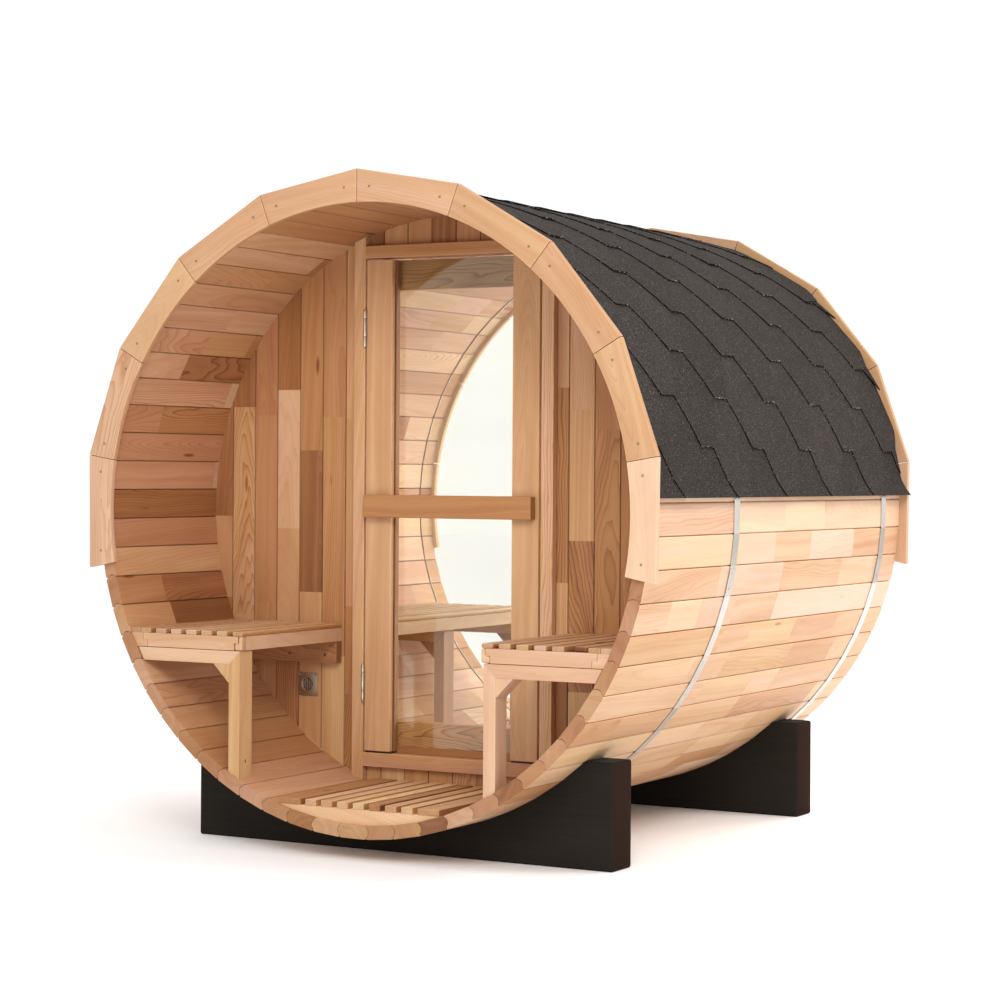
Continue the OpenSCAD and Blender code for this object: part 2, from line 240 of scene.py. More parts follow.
def tagCorners(mesh, values):
    layer = mesh.attributes.new("grain", "FLOAT_VECTOR", "CORNER")
    layer.data.foreach_set("vector", np.ascontiguousarray(values, np.float32).ravel())


def deepen(ob, faces, amount):
    tone = meshArray(ob.data.attributes["tone"].data, "value", 1)
    tone[faces] += amount
    tagFaces(ob.data, "tone", tone)


# How each block of wood is cut from its own log, whose heart lies beside it
grainRule = {
    "figures": (0.2, 0.3, 0.5, 0.7, 1.0, 1.4, 2.2), "heart": (0.015, 0.11), "toneSpread": 0.05,
    "logLength": 30, "lean": 0.03, "tilt": 0.05, "growth": (0.6, 1.25), "endFacing": 0.8, "edgeFacing": 0.94,
}
axisOf = {"x": Vector((1, 0, 0)), "y": Vector((0, 1, 0)), "z": Vector((0, 0, 1))}


def drawBlock(rnd, tones, tints, figures):
    spread, (near, far) = grainRule["toneSpread"], grainRule["heart"]
    tone = rnd.choice(tones) + rnd.uniform(-spread, spread)
    tint = rnd.uniform(*tints)
    figure = rnd.choice(figures)
    log = (rnd.uniform(0, grainRule["logLength"]), rnd.choice((-1, 1)) * rnd.uniform(0, far),
           rnd.choice((-1, 1)) * rnd.uniform(near, far), rnd.gauss(0, grainRule["lean"]),
           rnd.gauss(0, grainRule["tilt"]), rnd.uniform(*grainRule["growth"]))
    return tone, tint, figure, *log


def tagGrain(ob, along, across, rnd, tones, cuts=(), edgeShade=1.0, figures=grainRule["figures"],
             tints=(0.0, 1.0)):
    # each block gets a tone, a tint and a figure for its growth rings, and a place in its log
    mesh = ob.data
    a, b = Vector(along).normalized(), Vector(across).normalized()
    axes = np.array([a, b, a.cross(b)])
    local = meshArray(mesh.vertices, "co", 3) @ axes.T
    local = local - [0, *((local.min(0) + local.max(0)) / 2)[1:]]
    counts = meshArray(mesh.polygons, "loop_total", 1, np.int32)
    normals = np.abs(faceNormals(mesh) @ axes.T)
    middles = meshArray(mesh.polygons, "center", 3) @ axes[0]
    block = np.searchsorted(np.sort(np.array(cuts, float)), middles)
    drawn = np.array([drawBlock(rnd, tones, tints, figures) for _ in range(len(cuts) + 1)])
    start, side, deep, lean, tilt, growth = drawn[np.repeat(block, counts), 3:].T
    x, y, z = local[cornerPoints(mesh)].T
    tagCorners(mesh, np.stack([x + start, (y + side + lean * x) * growth, (z + deep + tilt * x) * growth], 1))
    for column, name in enumerate(("tone", "tint", "figure")):
        tagFaces(mesh, name, drawn[block, column])
    tagFaces(mesh, "cut", normals[:, 0] > grainRule["endFacing"])
    # eased edge faces are lighter for wear and as a painted highlight; a negative multiplier makes them
    # painted shade, as in the wall grooves
    tagFaces(mesh, "edge", edgeShade * (normals.max(1) < grainRule["edgeFacing"]))


def roundCorner(ob, x, y, radius):
    # rounds the upright edge that stands at x, y
    makeActive(ob)
    bpy.context.tool_settings.mesh_select_mode = (False, True, False)
    for edge in ob.data.edges:
        ends = [ob.data.vertices[v].co for v in edge.vertices]
        edge.select = all(abs(end.x - x) < 1e-5 and abs(end.y - y) < 1e-5 for end in ends)
    bpy.ops.object.mode_set(mode="EDIT")
    bpy.ops.mesh.bevel(offset=radius, segments=4)
    backToObject()
    bpy.context.tool_settings.mesh_select_mode = (False, False, True)


def board(low, high, along, rnd, tones, ease, planes=(), bored=None, cuts=(), segments=2, corner=None,
          **grain):
    ob = boxPiece(low, high)
    if corner:
        roundCorner(ob, *corner)
    easeEdges(ob, ease, segments)
    for point, outward in planes:
        trim(ob, point, outward)
    if bored:
        carve(ob, bored, "INTERSECT")
    if len(cuts):
        scoreAcross(ob, cuts, axisOf[along])
    size = Vector(high) - Vector(low)
    across = max((k for k in "xyz" if k != along), key=lambda k: size["xyz".index(k)])
    tagGrain(ob, axisOf[along], axisOf[across], rnd, tones, cuts, **grain)
    return ob


def blockCuts(rnd, start, end, shortest, longest):
    places, at = [], start + rnd.uniform(0.3, 1) * longest
    while at < end - shortest:
        places.append(at)
        at += rnd.uniform(shortest, longest)
    return places


# Materials
def nodeAdder(name):
    material = bpy.data.materials.new(name)
    material.use_nodes = True
    tree = material.node_tree
    tree.nodes.clear()

    def add(kind, inputs=None, **settings):
        node = tree.nodes.new("ShaderNode" + kind)
        for key, value in settings.items():
            setattr(node, key, value)
        for key, value in (inputs or {}).items():
            if isinstance(value, bpy.types.NodeSocket):
                tree.links.new(value, node.inputs[key])
            else:
                node.inputs[key].default_value = value
        return node

    return material, add


def objectPlace(add):
    return add("TexCoord").outputs["Object"]


def grainPlace(add):
    return add("Attribute", attribute_name="grain").outputs["Vector"]


def faceValue(add, name):
    return add("Attribute", attribute_name=name).outputs["Fac"]


def calc(add, operation, a, b=0.0):
    return add("Math", {0: a, 1: b}, operation=operation).outputs[0]


def plus(add, base, value, share):
    return calc(add, "ADD", base, calc(add, "MULTIPLY", value, share))


def sway(add, base, noise, amount):
    return plus(add, base, calc(add, "SUBTRACT", noise, 0.5), amount)


def fade(add, value, near, far):
    # one up to near, nought from far on
    span = {"Value": value, "From Min": near, "From Max": far, "To Min": 1.0, "To Max": 0.0}
    return add("MapRange", span).outputs[0]


def noiseOn(add, vector, scale, detail=2.0, roughness=0.5):
    stretched = add("Mapping", {"Vector": vector, "Scale": scale}).outputs[0]
    settings = {"Vector": stretched, "Scale": 1.0, "Detail": detail, "Roughness": roughness}
    return add("TexNoise", settings).outputs[0]


def rampOn(add, value, stops):
    ramp = add("ValToRGB", {0: value})
    marks = ramp.color_ramp.elements
    while len(marks) < len(stops):
        marks.new(0.5)
    for mark, (position, colour) in zip(marks, stops):
        mark.position, mark.color = position, (*colour, 1)
    return ramp.outputs[0]


def scaled(add, colour, factor):
    return add("VectorMath", {0: colour, "Scale": factor}, operation="SCALE").outputs[0]


def tinted(add, colour, tint):
    return add("VectorMath", {0: colour, 1: tint}, operation="MULTIPLY").outputs[0]


def blended(add, share, under, over):
    return add("Mix", {0: share, 6: under, 7: over}, data_type="RGBA").outputs[2]


def surface(add, colour, roughness, height, strength, distance, **sockets):
    bump = add("Bump", {"Height": height, "Strength": strength, "Distance": distance}).outputs[0]
    sockets = {"Base Color": colour, "Roughness": roughness, "Normal": bump, **sockets}
    add("OutputMaterial", {"Surface": add("BsdfPrincipled", sockets).outputs[0]})


cedarStops = [
    (0.00, (0.80, 0.585, 0.40)), (0.25, (0.68, 0.445, 0.280)), (0.45, (0.52, 0.278, 0.142)),
    (0.65, (0.40, 0.174, 0.074)), (0.82, (0.26, 0.102, 0.040)), (1.00, (0.145, 0.057, 0.024)),
]
cedarTints = [(0.0, (1.02, 0.975, 1.09)), (1.0, (1.0, 1.008, 0.80))]  # from rosy to ochre


def cedar(name, **changes):
    look = {**woodLook, **changes}
    material, add = nodeAdder(name)
    grain = grainPlace(add)
    tone, tint, figure, cut, edge = (faceValue(add, n) for n in ("tone", "tint", "figure", "cut", "edge"))
    along, across, deep = add("SeparateXYZ", {0: grain}).outputs
    # growth rings by the distance from the heart of the log
    squares = plus(add, calc(add, "MULTIPLY", across, across), deep, deep)
    depth = sway(add, calc(add, "SQRT", squares), noiseOn(add, grain, (1.6, 11, 11)), look["warp"])
    depth = sway(add, depth, noiseOn(add, grain, (8, 34, 34)), look["ripple"])
    ring = calc(add, "FRACT", calc(add, "MULTIPLY", depth, 1 / look["ringGap"]))
    ring = calc(add, "MULTIPLY", calc(add, "POWER", ring, 4.0), figure)
    # bands of a few years, and streaks of another hue along them
    banded = add("CombineXYZ", {0: calc(add, "MULTIPLY", depth, 1 / look["bandGap"]),
                                1: calc(add, "MULTIPLY", along, 0.5)}).outputs[0]
    band = add("TexNoise", {"Vector": banded, "Scale": 1.0, "Detail": 2.0}).outputs[0]
    streak = add("TexNoise", {"Vector": banded, "Scale": 0.7, "Detail": 1.0}).outputs[0]
    shade = sway(add, tone, band, look["band"])
    shade = sway(add, shade, noiseOn(add, grain, (2.2, 14, 14), 3.0), look["mottle"])
    shade = plus(add, shade, ring, look["ring"])
    # a knot in some of the cells, and none on end grain
    cells = add("Mapping", {"Vector": grain, "Scale": (3.0, 13, 13)}).outputs[0]
    cell = add("TexVoronoi", {"Vector": cells, "Scale": 1.0}).outputs
    rare = calc(add, "GREATER_THAN", add("SeparateColor", {0: cell["Color"]}).outputs[0], 0.72)
    knot = calc(add, "MULTIPLY", fade(add, cell["Distance"], 0.05, 0.11), rare)
    shade = plus(add, shade, knot, plus(add, look["knot"], cut, -look["knot"]))
    colour = rampOn(add, shade, cedarStops)
    colour = tinted(add, colour, rampOn(add, sway(add, tint, streak, look["streak"]), cedarTints))
    fibre = noiseOn(add, grain, (14, 650, 650), 2.0, 0.6)
    light = plus(add, 1 - look["fibre"] / 2, fibre, look["fibre"])
    # edge faces carry wear, painted highlight and painted shade, as tagged on each piece
    light = plus(add, light, edge, look["worn"])
    light = calc(add, "MULTIPLY", light, plus(add, look["bright"], cut, -look["endDark"]))
    colour = tinted(add, scaled(add, colour, light), look["cast"])
    rough = plus(add, look["rough"] - 0.06, fibre, 0.12)
    height = plus(add, fibre, ring, 0.6)
    surface(add, colour, rough, height, look["bump"], 0.0005, **{"Specular IOR Level": 0.35})
    return material


woodLook = {
    "warp": 0.05, "ripple": 0.006, "ringGap": 0.0046, "bandGap": 0.016, "band": 0.26, "mottle": 0.20,
    "ring": 0.13, "knot": 0.35, "fibre": 0.16, "worn": 0.12, "endDark": 0.22, "bright": 1.0, "rough": 0.55,
    "bump": 0.25, "cast": (1, 1, 1), "streak": 0.9,
}
staveCedar = cedar("staveCedar")
fasciaCedar = cedar("fasciaCedar", band=0.18, mottle=0.16, ring=0.09, worn=0.14, bright=0.97,
                    cast=(0.97, 1.03, 1.03))
wallCedar = cedar("wallCedar", band=0.36, streak=2.2)
doorCedar = cedar("doorCedar", band=0.22, ringGap=0.0035)
handleCedar = cedar("handleCedar", band=0.2, rough=0.45)
benchCedar = cedar("benchCedar", band=0.24, bright=0.90)
# the cabin bench is darker and cooler than the porch bench: painted shade
shadedCabinCedar = cedar("shadedCabinCedar", band=0.24, bright=0.90, cast=(0.86, 0.94, 1.0))
floorCedar = cedar("floorCedar", band=0.3)


def blackStain(name):
    # black faces, browner ends, and a painted grey sheen on the top face
    material, add = nodeAdder(name)
    at = objectPlace(add)
    grain = noiseOn(add, at, (5, 160, 160), 3.0, 0.6)
    cloud = noiseOn(add, at, (3, 7, 7), 3.0)
    shade = plus(add, calc(add, "MULTIPLY", grain, 0.5), cloud, 0.5)
    face = rampOn(add, shade, [(0.3, (0.017, 0.0145, 0.0122)), (0.7, (0.024, 0.0205, 0.0175))])
    end = rampOn(add, shade, [(0.3, (0.022, 0.0115, 0.0080)), (0.7, (0.029, 0.0155, 0.0110))])
    paintedSheenColour = rampOn(add, shade, [(0.3, (0.030, 0.033, 0.034)), (0.7, (0.042, 0.045, 0.046))])
    colour = blended(add, faceValue(add, "cut"), face, end)
    colour = blended(add, faceValue(add, "paintedTopSheen"), colour, paintedSheenColour)
    surface(add, colour, plus(add, 0.74, cloud, 0.2), grain, 0.08, 0.0005, **{"Specular IOR Level": 0.02})
    return material


def roofFelt(name):
    # crushed slate in bitumen, with a cast seam on each tab and torn, gritty rims
    material, add = nodeAdder(name)
    at = objectPlace(add)
    grit = add("TexVoronoi", {"Vector": at, "Scale": 560.0}).outputs["Color"]
    grit = add("SeparateColor", {0: grit}).outputs
    fine = noiseOn(add, at, (700, 700, 700), 2.0, 0.6)
    cloud = noiseOn(add, at, (9, 9, 9), 3.0, 0.6)
    across, up, _ = add("SeparateXYZ", {0: grainPlace(add)}).outputs
    seam = fade(add, calc(add, "ABSOLUTE", calc(add, "ADD", across, 0.043)), 0.0, 0.004)
    seam = calc(add, "MULTIPLY", seam, calc(add, "GREATER_THAN", up, 0.15))
    pale = calc(add, "GREATER_THAN", grit[1], 0.975)
    shade = calc(add, "MULTIPLY", grit[0], 0.5)
    tone, cut = faceValue(add, "tone"), faceValue(add, "cut")
    for part, share in ((fine, 0.4), (cloud, 0.10), (tone, 0.05), (seam, 0.12), (pale, 0.5)):
        shade = plus(add, shade, part, share)
    colour = rampOn(add, shade, [(0.22, (0.0102, 0.0086, 0.0076)), (0.52, (0.0355, 0.0286, 0.0256)),
                                 (0.80, (0.075, 0.0625, 0.0565)), (1.0, (0.18, 0.16, 0.145))])
    chip = calc(add, "GREATER_THAN", noiseOn(add, at, (260, 260, 260), 1.0), 0.66)
    rim = rampOn(add, chip, [(0.0, (0.006, 0.006, 0.006)), (1.0, (0.20, 0.18, 0.15))])
    colour = blended(add, cut, colour, rim)
    surface(add, colour, 0.92, calc(add, "ADD", grit[0], fine), 0.5, 0.0012, **{"Specular IOR Level": 0.1})
    return material


def steel(name, tint, rough, scale, paintedFacetLight=False):
    material, add = nodeAdder(name)
    at = objectPlace(add)
    brushed = noiseOn(add, at, scale, 3.0, 0.6)
    smear = noiseOn(add, at, (11, 11, 11))
    colour = rampOn(add, smear, [(0.3, tint), (0.7, tuple(0.86 * c for c in tint))])
    # the face tone paints reflections and shade onto each flat
    if paintedFacetLight:
        colour = scaled(add, colour, faceValue(add, "tone"))
    surface(add, colour, plus(add, rough, brushed, 0.16), brushed, 0.08, 0.0003, Metallic=1.0)
    return material


def clearGlass(name, tint, gleam):
    material, add = nodeAdder(name)
    smear = noiseOn(add, objectPlace(add), (5, 5, 3), 3.0)
    colour = rampOn(add, smear, [(0.3, tint), (0.7, tuple(min(1, 1.02 * c) for c in tint))])
    roughness = add("MapRange", {"Value": smear, "To Min": 0.0, "To Max": 0.03}).outputs[0]
    surface(add, colour, roughness, smear, 0.01, 0.0002,
            **{"Transmission Weight": 1.0, "IOR": 1.52, "Specular Tint": (*gleam, 1)})
    return material


def mottled(name, scale, detail, stops, rough, strength, distance, gloss):
    material, add = nodeAdder(name)
    cloud = noiseOn(add, objectPlace(add), (scale, scale, scale), detail)
    surface(add, rampOn(add, cloud, stops), rough, cloud, strength, distance, **{"Specular IOR Level": gloss})
    return material


cradleBlack = blackStain("blackStain")
shingleFelt = roofFelt("roofFelt")
feltCrumbs = mottled("feltGrit", 170, 2.0, [(0.35, (0.035, 0.030, 0.027)), (0.65, (0.34, 0.30, 0.27))],
                     0.85, 0.4, 0.0006, 0.15)
hoopSteel = steel("hoopSteel", (0.74, 0.68, 0.61), 0.20, (30, 700, 30), paintedFacetLight=True)
hingeSteel = steel("hingeSteel", (0.66, 0.62, 0.54), 0.08, (300, 300, 40))
screwSteel = steel("screwSteel", (0.24, 0.25, 0.21), 0.4, (500, 500, 500))
plugSteel = steel("plugSteel", (0.085, 0.068, 0.055), 0.5, (500, 500, 500))
ventSteel = steel("ventSteel", (0.52, 0.42, 0.32), 0.36, (40, 400, 400))
doorGlass = clearGlass("doorGlass", (0.955, 0.975, 0.925), (1.0, 0.92, 0.80))
rearGlass = clearGlass("rearGlass", (0.985, 0.975, 0.945), (1.0, 1.0, 1.0))
blackSeal = mottled("sealRubber", 60, 3.0, [(0.35, (0.022, 0.016, 0.012)), (0.7, (0.055, 0.042, 0.031))],
                    0.7, 0.2, 0.0005, 0.5)
print("materials made")

# Staves: a bead on the upper side and a cove on the lower side, so that the joints shed water
stave = {
    "bulge": 0.0080, "gap": 0.0015, "outerEase": 0.0050, "innerEase": 0.0016, "beadSteps": 10,
    "beadFrom": 0.003, "beadTo": 0.001, "blocks": 5, "shortest": 0.18, "shortFront": (0.18, 0.4),
    "longFront": (0.46, 0.66), "longShare": 0.6, "uneven": 1.6, "seed": 26140, "bottom": 12, "top": 44,
    "tones": (0.16, 0.20, 0.24, 0.26, 0.29, 0.31, 0.33, 0.37, 0.46), "tints": (0.0, 0.45),
    "innerShifts": (0.11, 0.16, 0.18, 0.20, 0.23, 0.29), "innerTints": (0.05, 0.75), "outerFigure": 0.45,
    # the cabin, ceiling and underside values below are painted shade, and the edge values paint a highlight
    # and shade along the outer joints
    "cabinPaintedShade": 0.11, "cabinPaintedDimming": 1.2, "ceiling": 0.74, "ceilingPaintedShade": 0.07,
    "porchPale": 0.40, "porchTone": 0.49, "porchSpread": 1.35,
    "underside": -0.35, "undersidePaintedShade": 0.035, "undersidePaintedTint": 0.35,
    "paintedHighlightEdge": 3.2, "paintedShadeEdge": -1.8, "innerEdge": -2.4, "smooth": 25,
    "groups": (("floor", 4), ("right", 20), ("roof", 36), ("left", 52)),
}


def jointFace(bulge):
    inner, outer, ease, innerEase = barrel["innerR"], barrel["outerR"], stave["outerEase"], stave["innerEase"]
    slope = math.tan(math.radians(staveAngle / 2))
    half = lambda r: r * slope - stave["gap"] / 2
    points = [(inner, half(inner) - innerEase), (inner + innerEase, half(inner + innerEase))]
    low, high = inner + stave["beadFrom"], outer - ease - stave["beadTo"]
    for i in range(stave["beadSteps"] + 1):
        s = i / stave["beadSteps"]
        r = low + (high - low) * s
        points.append((r, half(r) + bulge * 4 * s * (1 - s)))
    for degrees in (0, 30, 60, 90):
        turn = math.radians(degrees)
        points.append((outer - ease * (1 - math.sin(turn)), half(outer - ease) - ease * (1 - math.cos(turn))))
    return points


def staveBlank(upperBulge, lowerBulge):
    ring = jointFace(upperBulge) + [(r, -t) for r, t in reversed(jointFace(lowerBulge))]
    outline = [(r, barrel["frontY"], axisZ + t) for r, t in ring]
    step = (barrel["rearY"] - barrel["frontY"]) / stave["blocks"]
    return outlinePiece(outline, [(0, step, 0)] * stave["blocks"])


def staveCopy(blank, number, rnd):
    start, length = barrel["frontY"], barrel["rearY"] - barrel["frontY"]
    front = "longFront" if rnd.random() < stave["longShare"] else "shortFront"
    first = rnd.uniform(*stave[front])
    spare = length - first - (stave["blocks"] - 1) * stave["shortest"]
    shares = [rnd.random() ** stave["uneven"] for _ in range(stave["blocks"] - 1)]
    rings, at = [start, start + first], start + first
    for share in shares:
        at += stave["shortest"] + spare * share / sum(shares)
        rings.append(at)
    rings[-1] = barrel["rearY"]
    twin = copyOf(blank)
    for vertex in twin.data.vertices:
        vertex.co.y = rings[round((vertex.co.y - start) / length * stave["blocks"])]
    angle = barrel["firstJoint"] + (number + 0.5) * staveAngle
    twin.data.transform(roundAxis(angle))
    turn, cuts = math.radians(angle), rings[1:-1]
    across = (-math.sin(turn), 0, math.cos(turn))
    tagGrain(twin, axisOf["y"], across, rnd, stave["tones"], cuts, tints=stave["tints"])
    shadeStave(twin.data, Vector((math.cos(turn), 0, math.sin(turn))), cuts, rnd)
    return twin


def shadeStave(mesh, outward, cuts, rnd):
    # inner faces and ends are darker and warmer than the outside, with more spread in the porch; painted
    # shade darkens the cabin inside, the porch ceiling and the outer underside; outer eased edges get a
    # painted highlight where they face up and painted shade where they face down; inner joint edges are
    # darker
    names = ("tone", "tint", "edge", "figure")
    tone, tint, edge, figure = values = [meshArray(mesh.attributes[n].data, "value", 1) for n in names]
    normals, middles = faceNormals(mesh), meshArray(mesh.polygons, "center", 3)
    facing = normals @ np.array(outward)
    inner, cabin = facing < 0.3, middles[:, 1] > wallY / 2
    block = np.searchsorted(cuts, middles[:, 1])
    shifts = np.array([rnd.choice(stave["innerShifts"]) for _ in range(len(cuts) + 1)])[block]
    tints = np.array([rnd.uniform(*stave["innerTints"]) for _ in range(len(cuts) + 1)])[block]
    # painted shade: inner faces are darker in the cabin and on the porch ceiling
    ceiling = ~cabin & (middles[:, 2] > axisZ + stave["ceiling"])
    tone[inner] += (shifts - stave["cabinPaintedShade"] * cabin + stave["ceilingPaintedShade"] * ceiling)[inner]
    porch = inner & ~cabin
    apart = np.maximum(tone[porch], stave["porchPale"]) - stave["porchTone"]
    tone[porch] = stave["porchTone"] + apart * stave["porchSpread"]
    # painted shade: the outside of the staves low on the barrel is darker and rosier
    under = outward.z < stave["underside"]
    tone[~inner] += stave["undersidePaintedShade"] * under
    tint[~inner] += stave["undersidePaintedTint"] * under
    tint[inner] = tints[inner]
    figure[~inner] *= stave["outerFigure"]
    # painted highlight on outer eased edges that face up, painted shade on those that face down; inner joint
    # edges are darker
    outerEdge = np.where(normals[:, 2] > 0, stave["paintedHighlightEdge"], stave["paintedShadeEdge"])
    edge *= np.where(facing < 0, stave["innerEdge"], np.where(inner, 1, outerEdge))
    # painted shade over all inner faces in the cabin
    edge -= stave["cabinPaintedDimming"] * (inner & cabin)
    for name, value in zip(names, values):
        tagFaces(mesh, name, value)


def makeStaves():
    rnd = random.Random(stave["seed"])
    bulge, count = stave["bulge"], barrel["staves"]
    blanks = {"right": staveBlank(bulge, -bulge), "left": staveBlank(-bulge, bulge),
              "bottom": staveBlank(bulge, bulge), "top": staveBlank(-bulge, -bulge)}
    ends = {stave["bottom"]: "bottom", stave["top"]: "top"}
    for group, first in stave["groups"]:
        made = []
        for number in range(first, first + count // 4):
            side = "right" if (number - stave["bottom"]) % count < count // 2 else "left"
            made.append(staveCopy(blanks[ends.get(number, side)], number, rnd))
        placePiece(group + "Staves", made, group + "_staves", staveCedar,
                   smooth=stave["smooth"])
    drop(*blanks.values())
    print("staves made")


makeStaves()

cradle = {"halfWidth": 0.700, "height": 0.300, "thick": 0.112, "starts": (-0.690, 0.578), "ease": 0.007}


def makeCradles():
    for end, y in zip(("front", "rear"), cradle["starts"]):
        low, high = (-cradle["halfWidth"], y, 0), (cradle["halfWidth"], y + cradle["thick"], cradle["height"])
        ob = boxPiece(low, high, cradle["ease"], 3)
        carve(ob, drum, "DIFFERENCE")
        normals = faceNormals(ob.data)
        tagFaces(ob.data, "cut", np.abs(normals[:, 0]) > 0.95)
        # the top face gets a painted grey sheen
        tagFaces(ob.data, "paintedTopSheen", normals[:, 2] > 0.97)
        placePiece(end + "Cradle", [ob], end + "_cradle", cradleBlack, smooth=30)
    print("cradles made")


makeCradles()

# Steel bands, flat over each stave and bent at the joints, with a riveted lap
# each flat of a band gets a random tone that is a painted reflection, and the flats facing down are darker as
# painted shade
hoop = {
    "width": 0.038, "thick": 0.0012, "off": 0.0009, "ys": (-0.364, 0.755), "lapAngle": -13.0,
    "lapLength": 0.075, "lapEase": 0.0003, "rivet": 0.003, "rivetH": 0.002, "rivetEase": 0.0006,
    "rivetAt": (-0.022, 0.022), "tones": (0.56, 0.74, 0.84, 0.92, 1.0, 1.06), "seed": 13852,
    "low": -0.16, "lowFacetPaintedShade": 0.68,
}


def hoopLap(y, outer):
    half, reach, top = hoop["width"] / 2, hoop["lapLength"] / 2, outer + hoop["thick"]
    parts = [boxPiece((outer, y - half, axisZ - reach), (top, y + half, axisZ + reach), hoop["lapEase"], 1)]
    for step in hoop["rivetAt"]:
        head = tubePiece((top, y, axisZ + step), hoop["rivet"], hoop["rivetH"], 12, axis="X")
        easeEdges(head, hoop["rivetEase"], 2, 50)
        parts.append(head)
    flat = round((hoop["lapAngle"] - barrel["firstJoint"]) / staveAngle - 0.5) + 0.5
    for part in parts:
        part.data.transform(roundAxis(barrel["firstJoint"] + staveAngle * flat))
    return parts


def makeHoop(end, y):
    inner = barrel["outerR"] + hoop["off"]
    ring = facetedRing(inner, hoop["width"], y, hoop["thick"], 1)
    whole = joinAll(end + "Hoop", [ring] + hoopLap(y, inner + hoop["thick"]))
    # painted reflection: a random tone for each flat; painted shade: the flats facing down are darker
    rnd = random.Random(hoop["seed"])
    tones = np.array([rnd.choice(hoop["tones"]) for _ in range(barrel["staves"])])
    middles = meshArray(whole.data.polygons, "center", 3) - [0, 0, axisZ]
    turns = np.degrees(np.arctan2(middles[:, 2], middles[:, 0])) - cornerTurn
    facet = np.floor(turns / staveAngle).astype(int) % barrel["staves"]
    low = np.where(middles[:, 2] < hoop["low"] * barrel["outerR"], hoop["lowFacetPaintedShade"], 1)
    tagFaces(whole.data, "tone", tones[facet] * low)
    placePiece(end + "Hoop", [whole], end + "_hoop", hoopSteel)


for end, y in zip(("front", "rear"), hoop["ys"]):
    makeHoop(end, y)
print("hoops made")

# Fascia boards: flat outside, cut to the round inside, mitred at their ends
fascia = {
    "count": 10, "step": 20.15, "flatR": 0.941, "innerR": 0.862, "thick": 0.018, "ease": 0.0026, "smooth": 35,
    "arcSteps": 14, "screwR": 0.905, "screwTurn": 7.4, "screwHead": 0.0034, "seed": 7,
    "tones": (0.32, 0.36, 0.38, 0.40, 0.44), "ys": (-0.918, 0.900),
    "gaps": ((0.0012, 0.0012), (0.0012, 0.0050)), "tints": ((0.0, 0.5), (0.0, 0.75)),
}
screw = {"depth": 0.0016, "sides": 14, "rim": 0.35, "socketRim": 0.2, "socket": -0.0012, "smooth": 30}


def screwHead(centre, radius, facing):
    head = tubePiece(centre, radius, screw["depth"], screw["sides"])
    insetEnd(head, facing, (radius * screw["rim"], 0), (radius * screw["socketRim"], screw["socket"]))
    return head


def fasciaOutline(y, outerGap, innerGap):
    half = math.radians(fascia["step"] / 2)
    top = fascia["flatR"] * math.tan(half) - outerGap / 2 / math.cos(half)
    reach = half - innerGap / 2 / fascia["innerR"]
    points = [(fascia["flatR"], -top), (fascia["flatR"], top)]
    for i in range(fascia["arcSteps"] + 1):
        turn = reach * (1 - 2 * i / fascia["arcSteps"])
        points.append((fascia["innerR"] * math.cos(turn), fascia["innerR"] * math.sin(turn)))
    return [(r, y, axisZ + t) for r, t in points]


def makeFascia(end, facing, y, gaps, tints):
    rnd = random.Random(fascia["seed"] + round(y * 10))
    blank = outlinePiece(fasciaOutline(y, *gaps), [(0, fascia["thick"], 0)])
    easeEdges(blank, fascia["ease"], 2, 40)
    faceY = y if facing < 0 else y + fascia["thick"]
    head = screwHead((fascia["screwR"], faceY + facing * hair, axisZ), fascia["screwHead"], facing)
    boards, screws = [], []
    for i in range(fascia["count"]):
        angle = 90 + (i - (fascia["count"] - 1) / 2) * fascia["step"]
        twin = copyOf(blank, roundAxis(angle))
        c, s = math.cos(math.radians(angle)), math.sin(math.radians(angle))
        tagGrain(twin, (-s, 0, c), (c, 0, s), rnd, fascia["tones"], tints=tints)
        boards.append(twin)
        screws += [copyOf(head, roundAxis(angle + side * fascia["screwTurn"])) for side in (-1, 1)]
    drop(blank, head)
    name = end + "Fascia"
    placePiece(name, boards, end + "_fascia", fasciaCedar, smooth=fascia["smooth"])
    placePiece(name + "Screws", screws, None, screwSteel, smooth=screw["smooth"])


for settings in zip(("front", "rear"), (-1, 1), fascia["ys"], fascia["gaps"], fascia["tints"]):
    makeFascia(*settings)
print("fascias made")

# Roof: courses of hexagonal tabs, each lying on the two courses below it
roof = {
    "deckR": 0.9163, "thick": 0.0030, "eave": 2.85, "rise": 0.142, "pitch": 0.338, "flat": 0.086,
    "wide": 0.254, "lap": 0.016, "slit": 0.0006, "evenY": -0.707, "oddY": -0.876, "courses": 10,
    "ridgeCourses": 3, "endY": 0.8995, "seed": 23, "smooth": 30, "jitter": 0.001,
    "tabRows": (0.018, 0.05, 0.095, 0.19, 0.24),
    "flare": 0.020, "flareReach": 0.085, "rearFlare": 0.014, "rearFrom": 0.45,
    "curl": 0.0018, "curlReach": 0.08, "skew": 0.0015, "skewAt": 0.17,
    "rearCurl": 0.014, "curlFrom": 0.80, "curlTop": 0.75,
    "starterLap": 0.03, "starterRows": (0.018, 0.05, 0.09), "starterCuts": 6,
    "capWidth": 0.25, "capRise": 0.2, "capLap": 0.07, "capTilt": 1.5, "onTop": 2.6, "lastCap": 0.02,
    "crumb": 0.0022, "crumbs": 9, "crumbLift": 0.0012, "crumbDrift": (-0.0015, 0.0025), "crumbEnd": 0.004,
    "crumbSize": ((0.5, 1.6), (0.7, 2.2), (0.5, 1.1)),
}
roofR = roof["deckR"] + 2 * roof["thick"]
eaveTurn = math.radians(roof["eave"])


def onRoof(side, radius, turn, y):
    return side * radius * math.cos(turn), y, axisZ + radius * math.sin(turn)


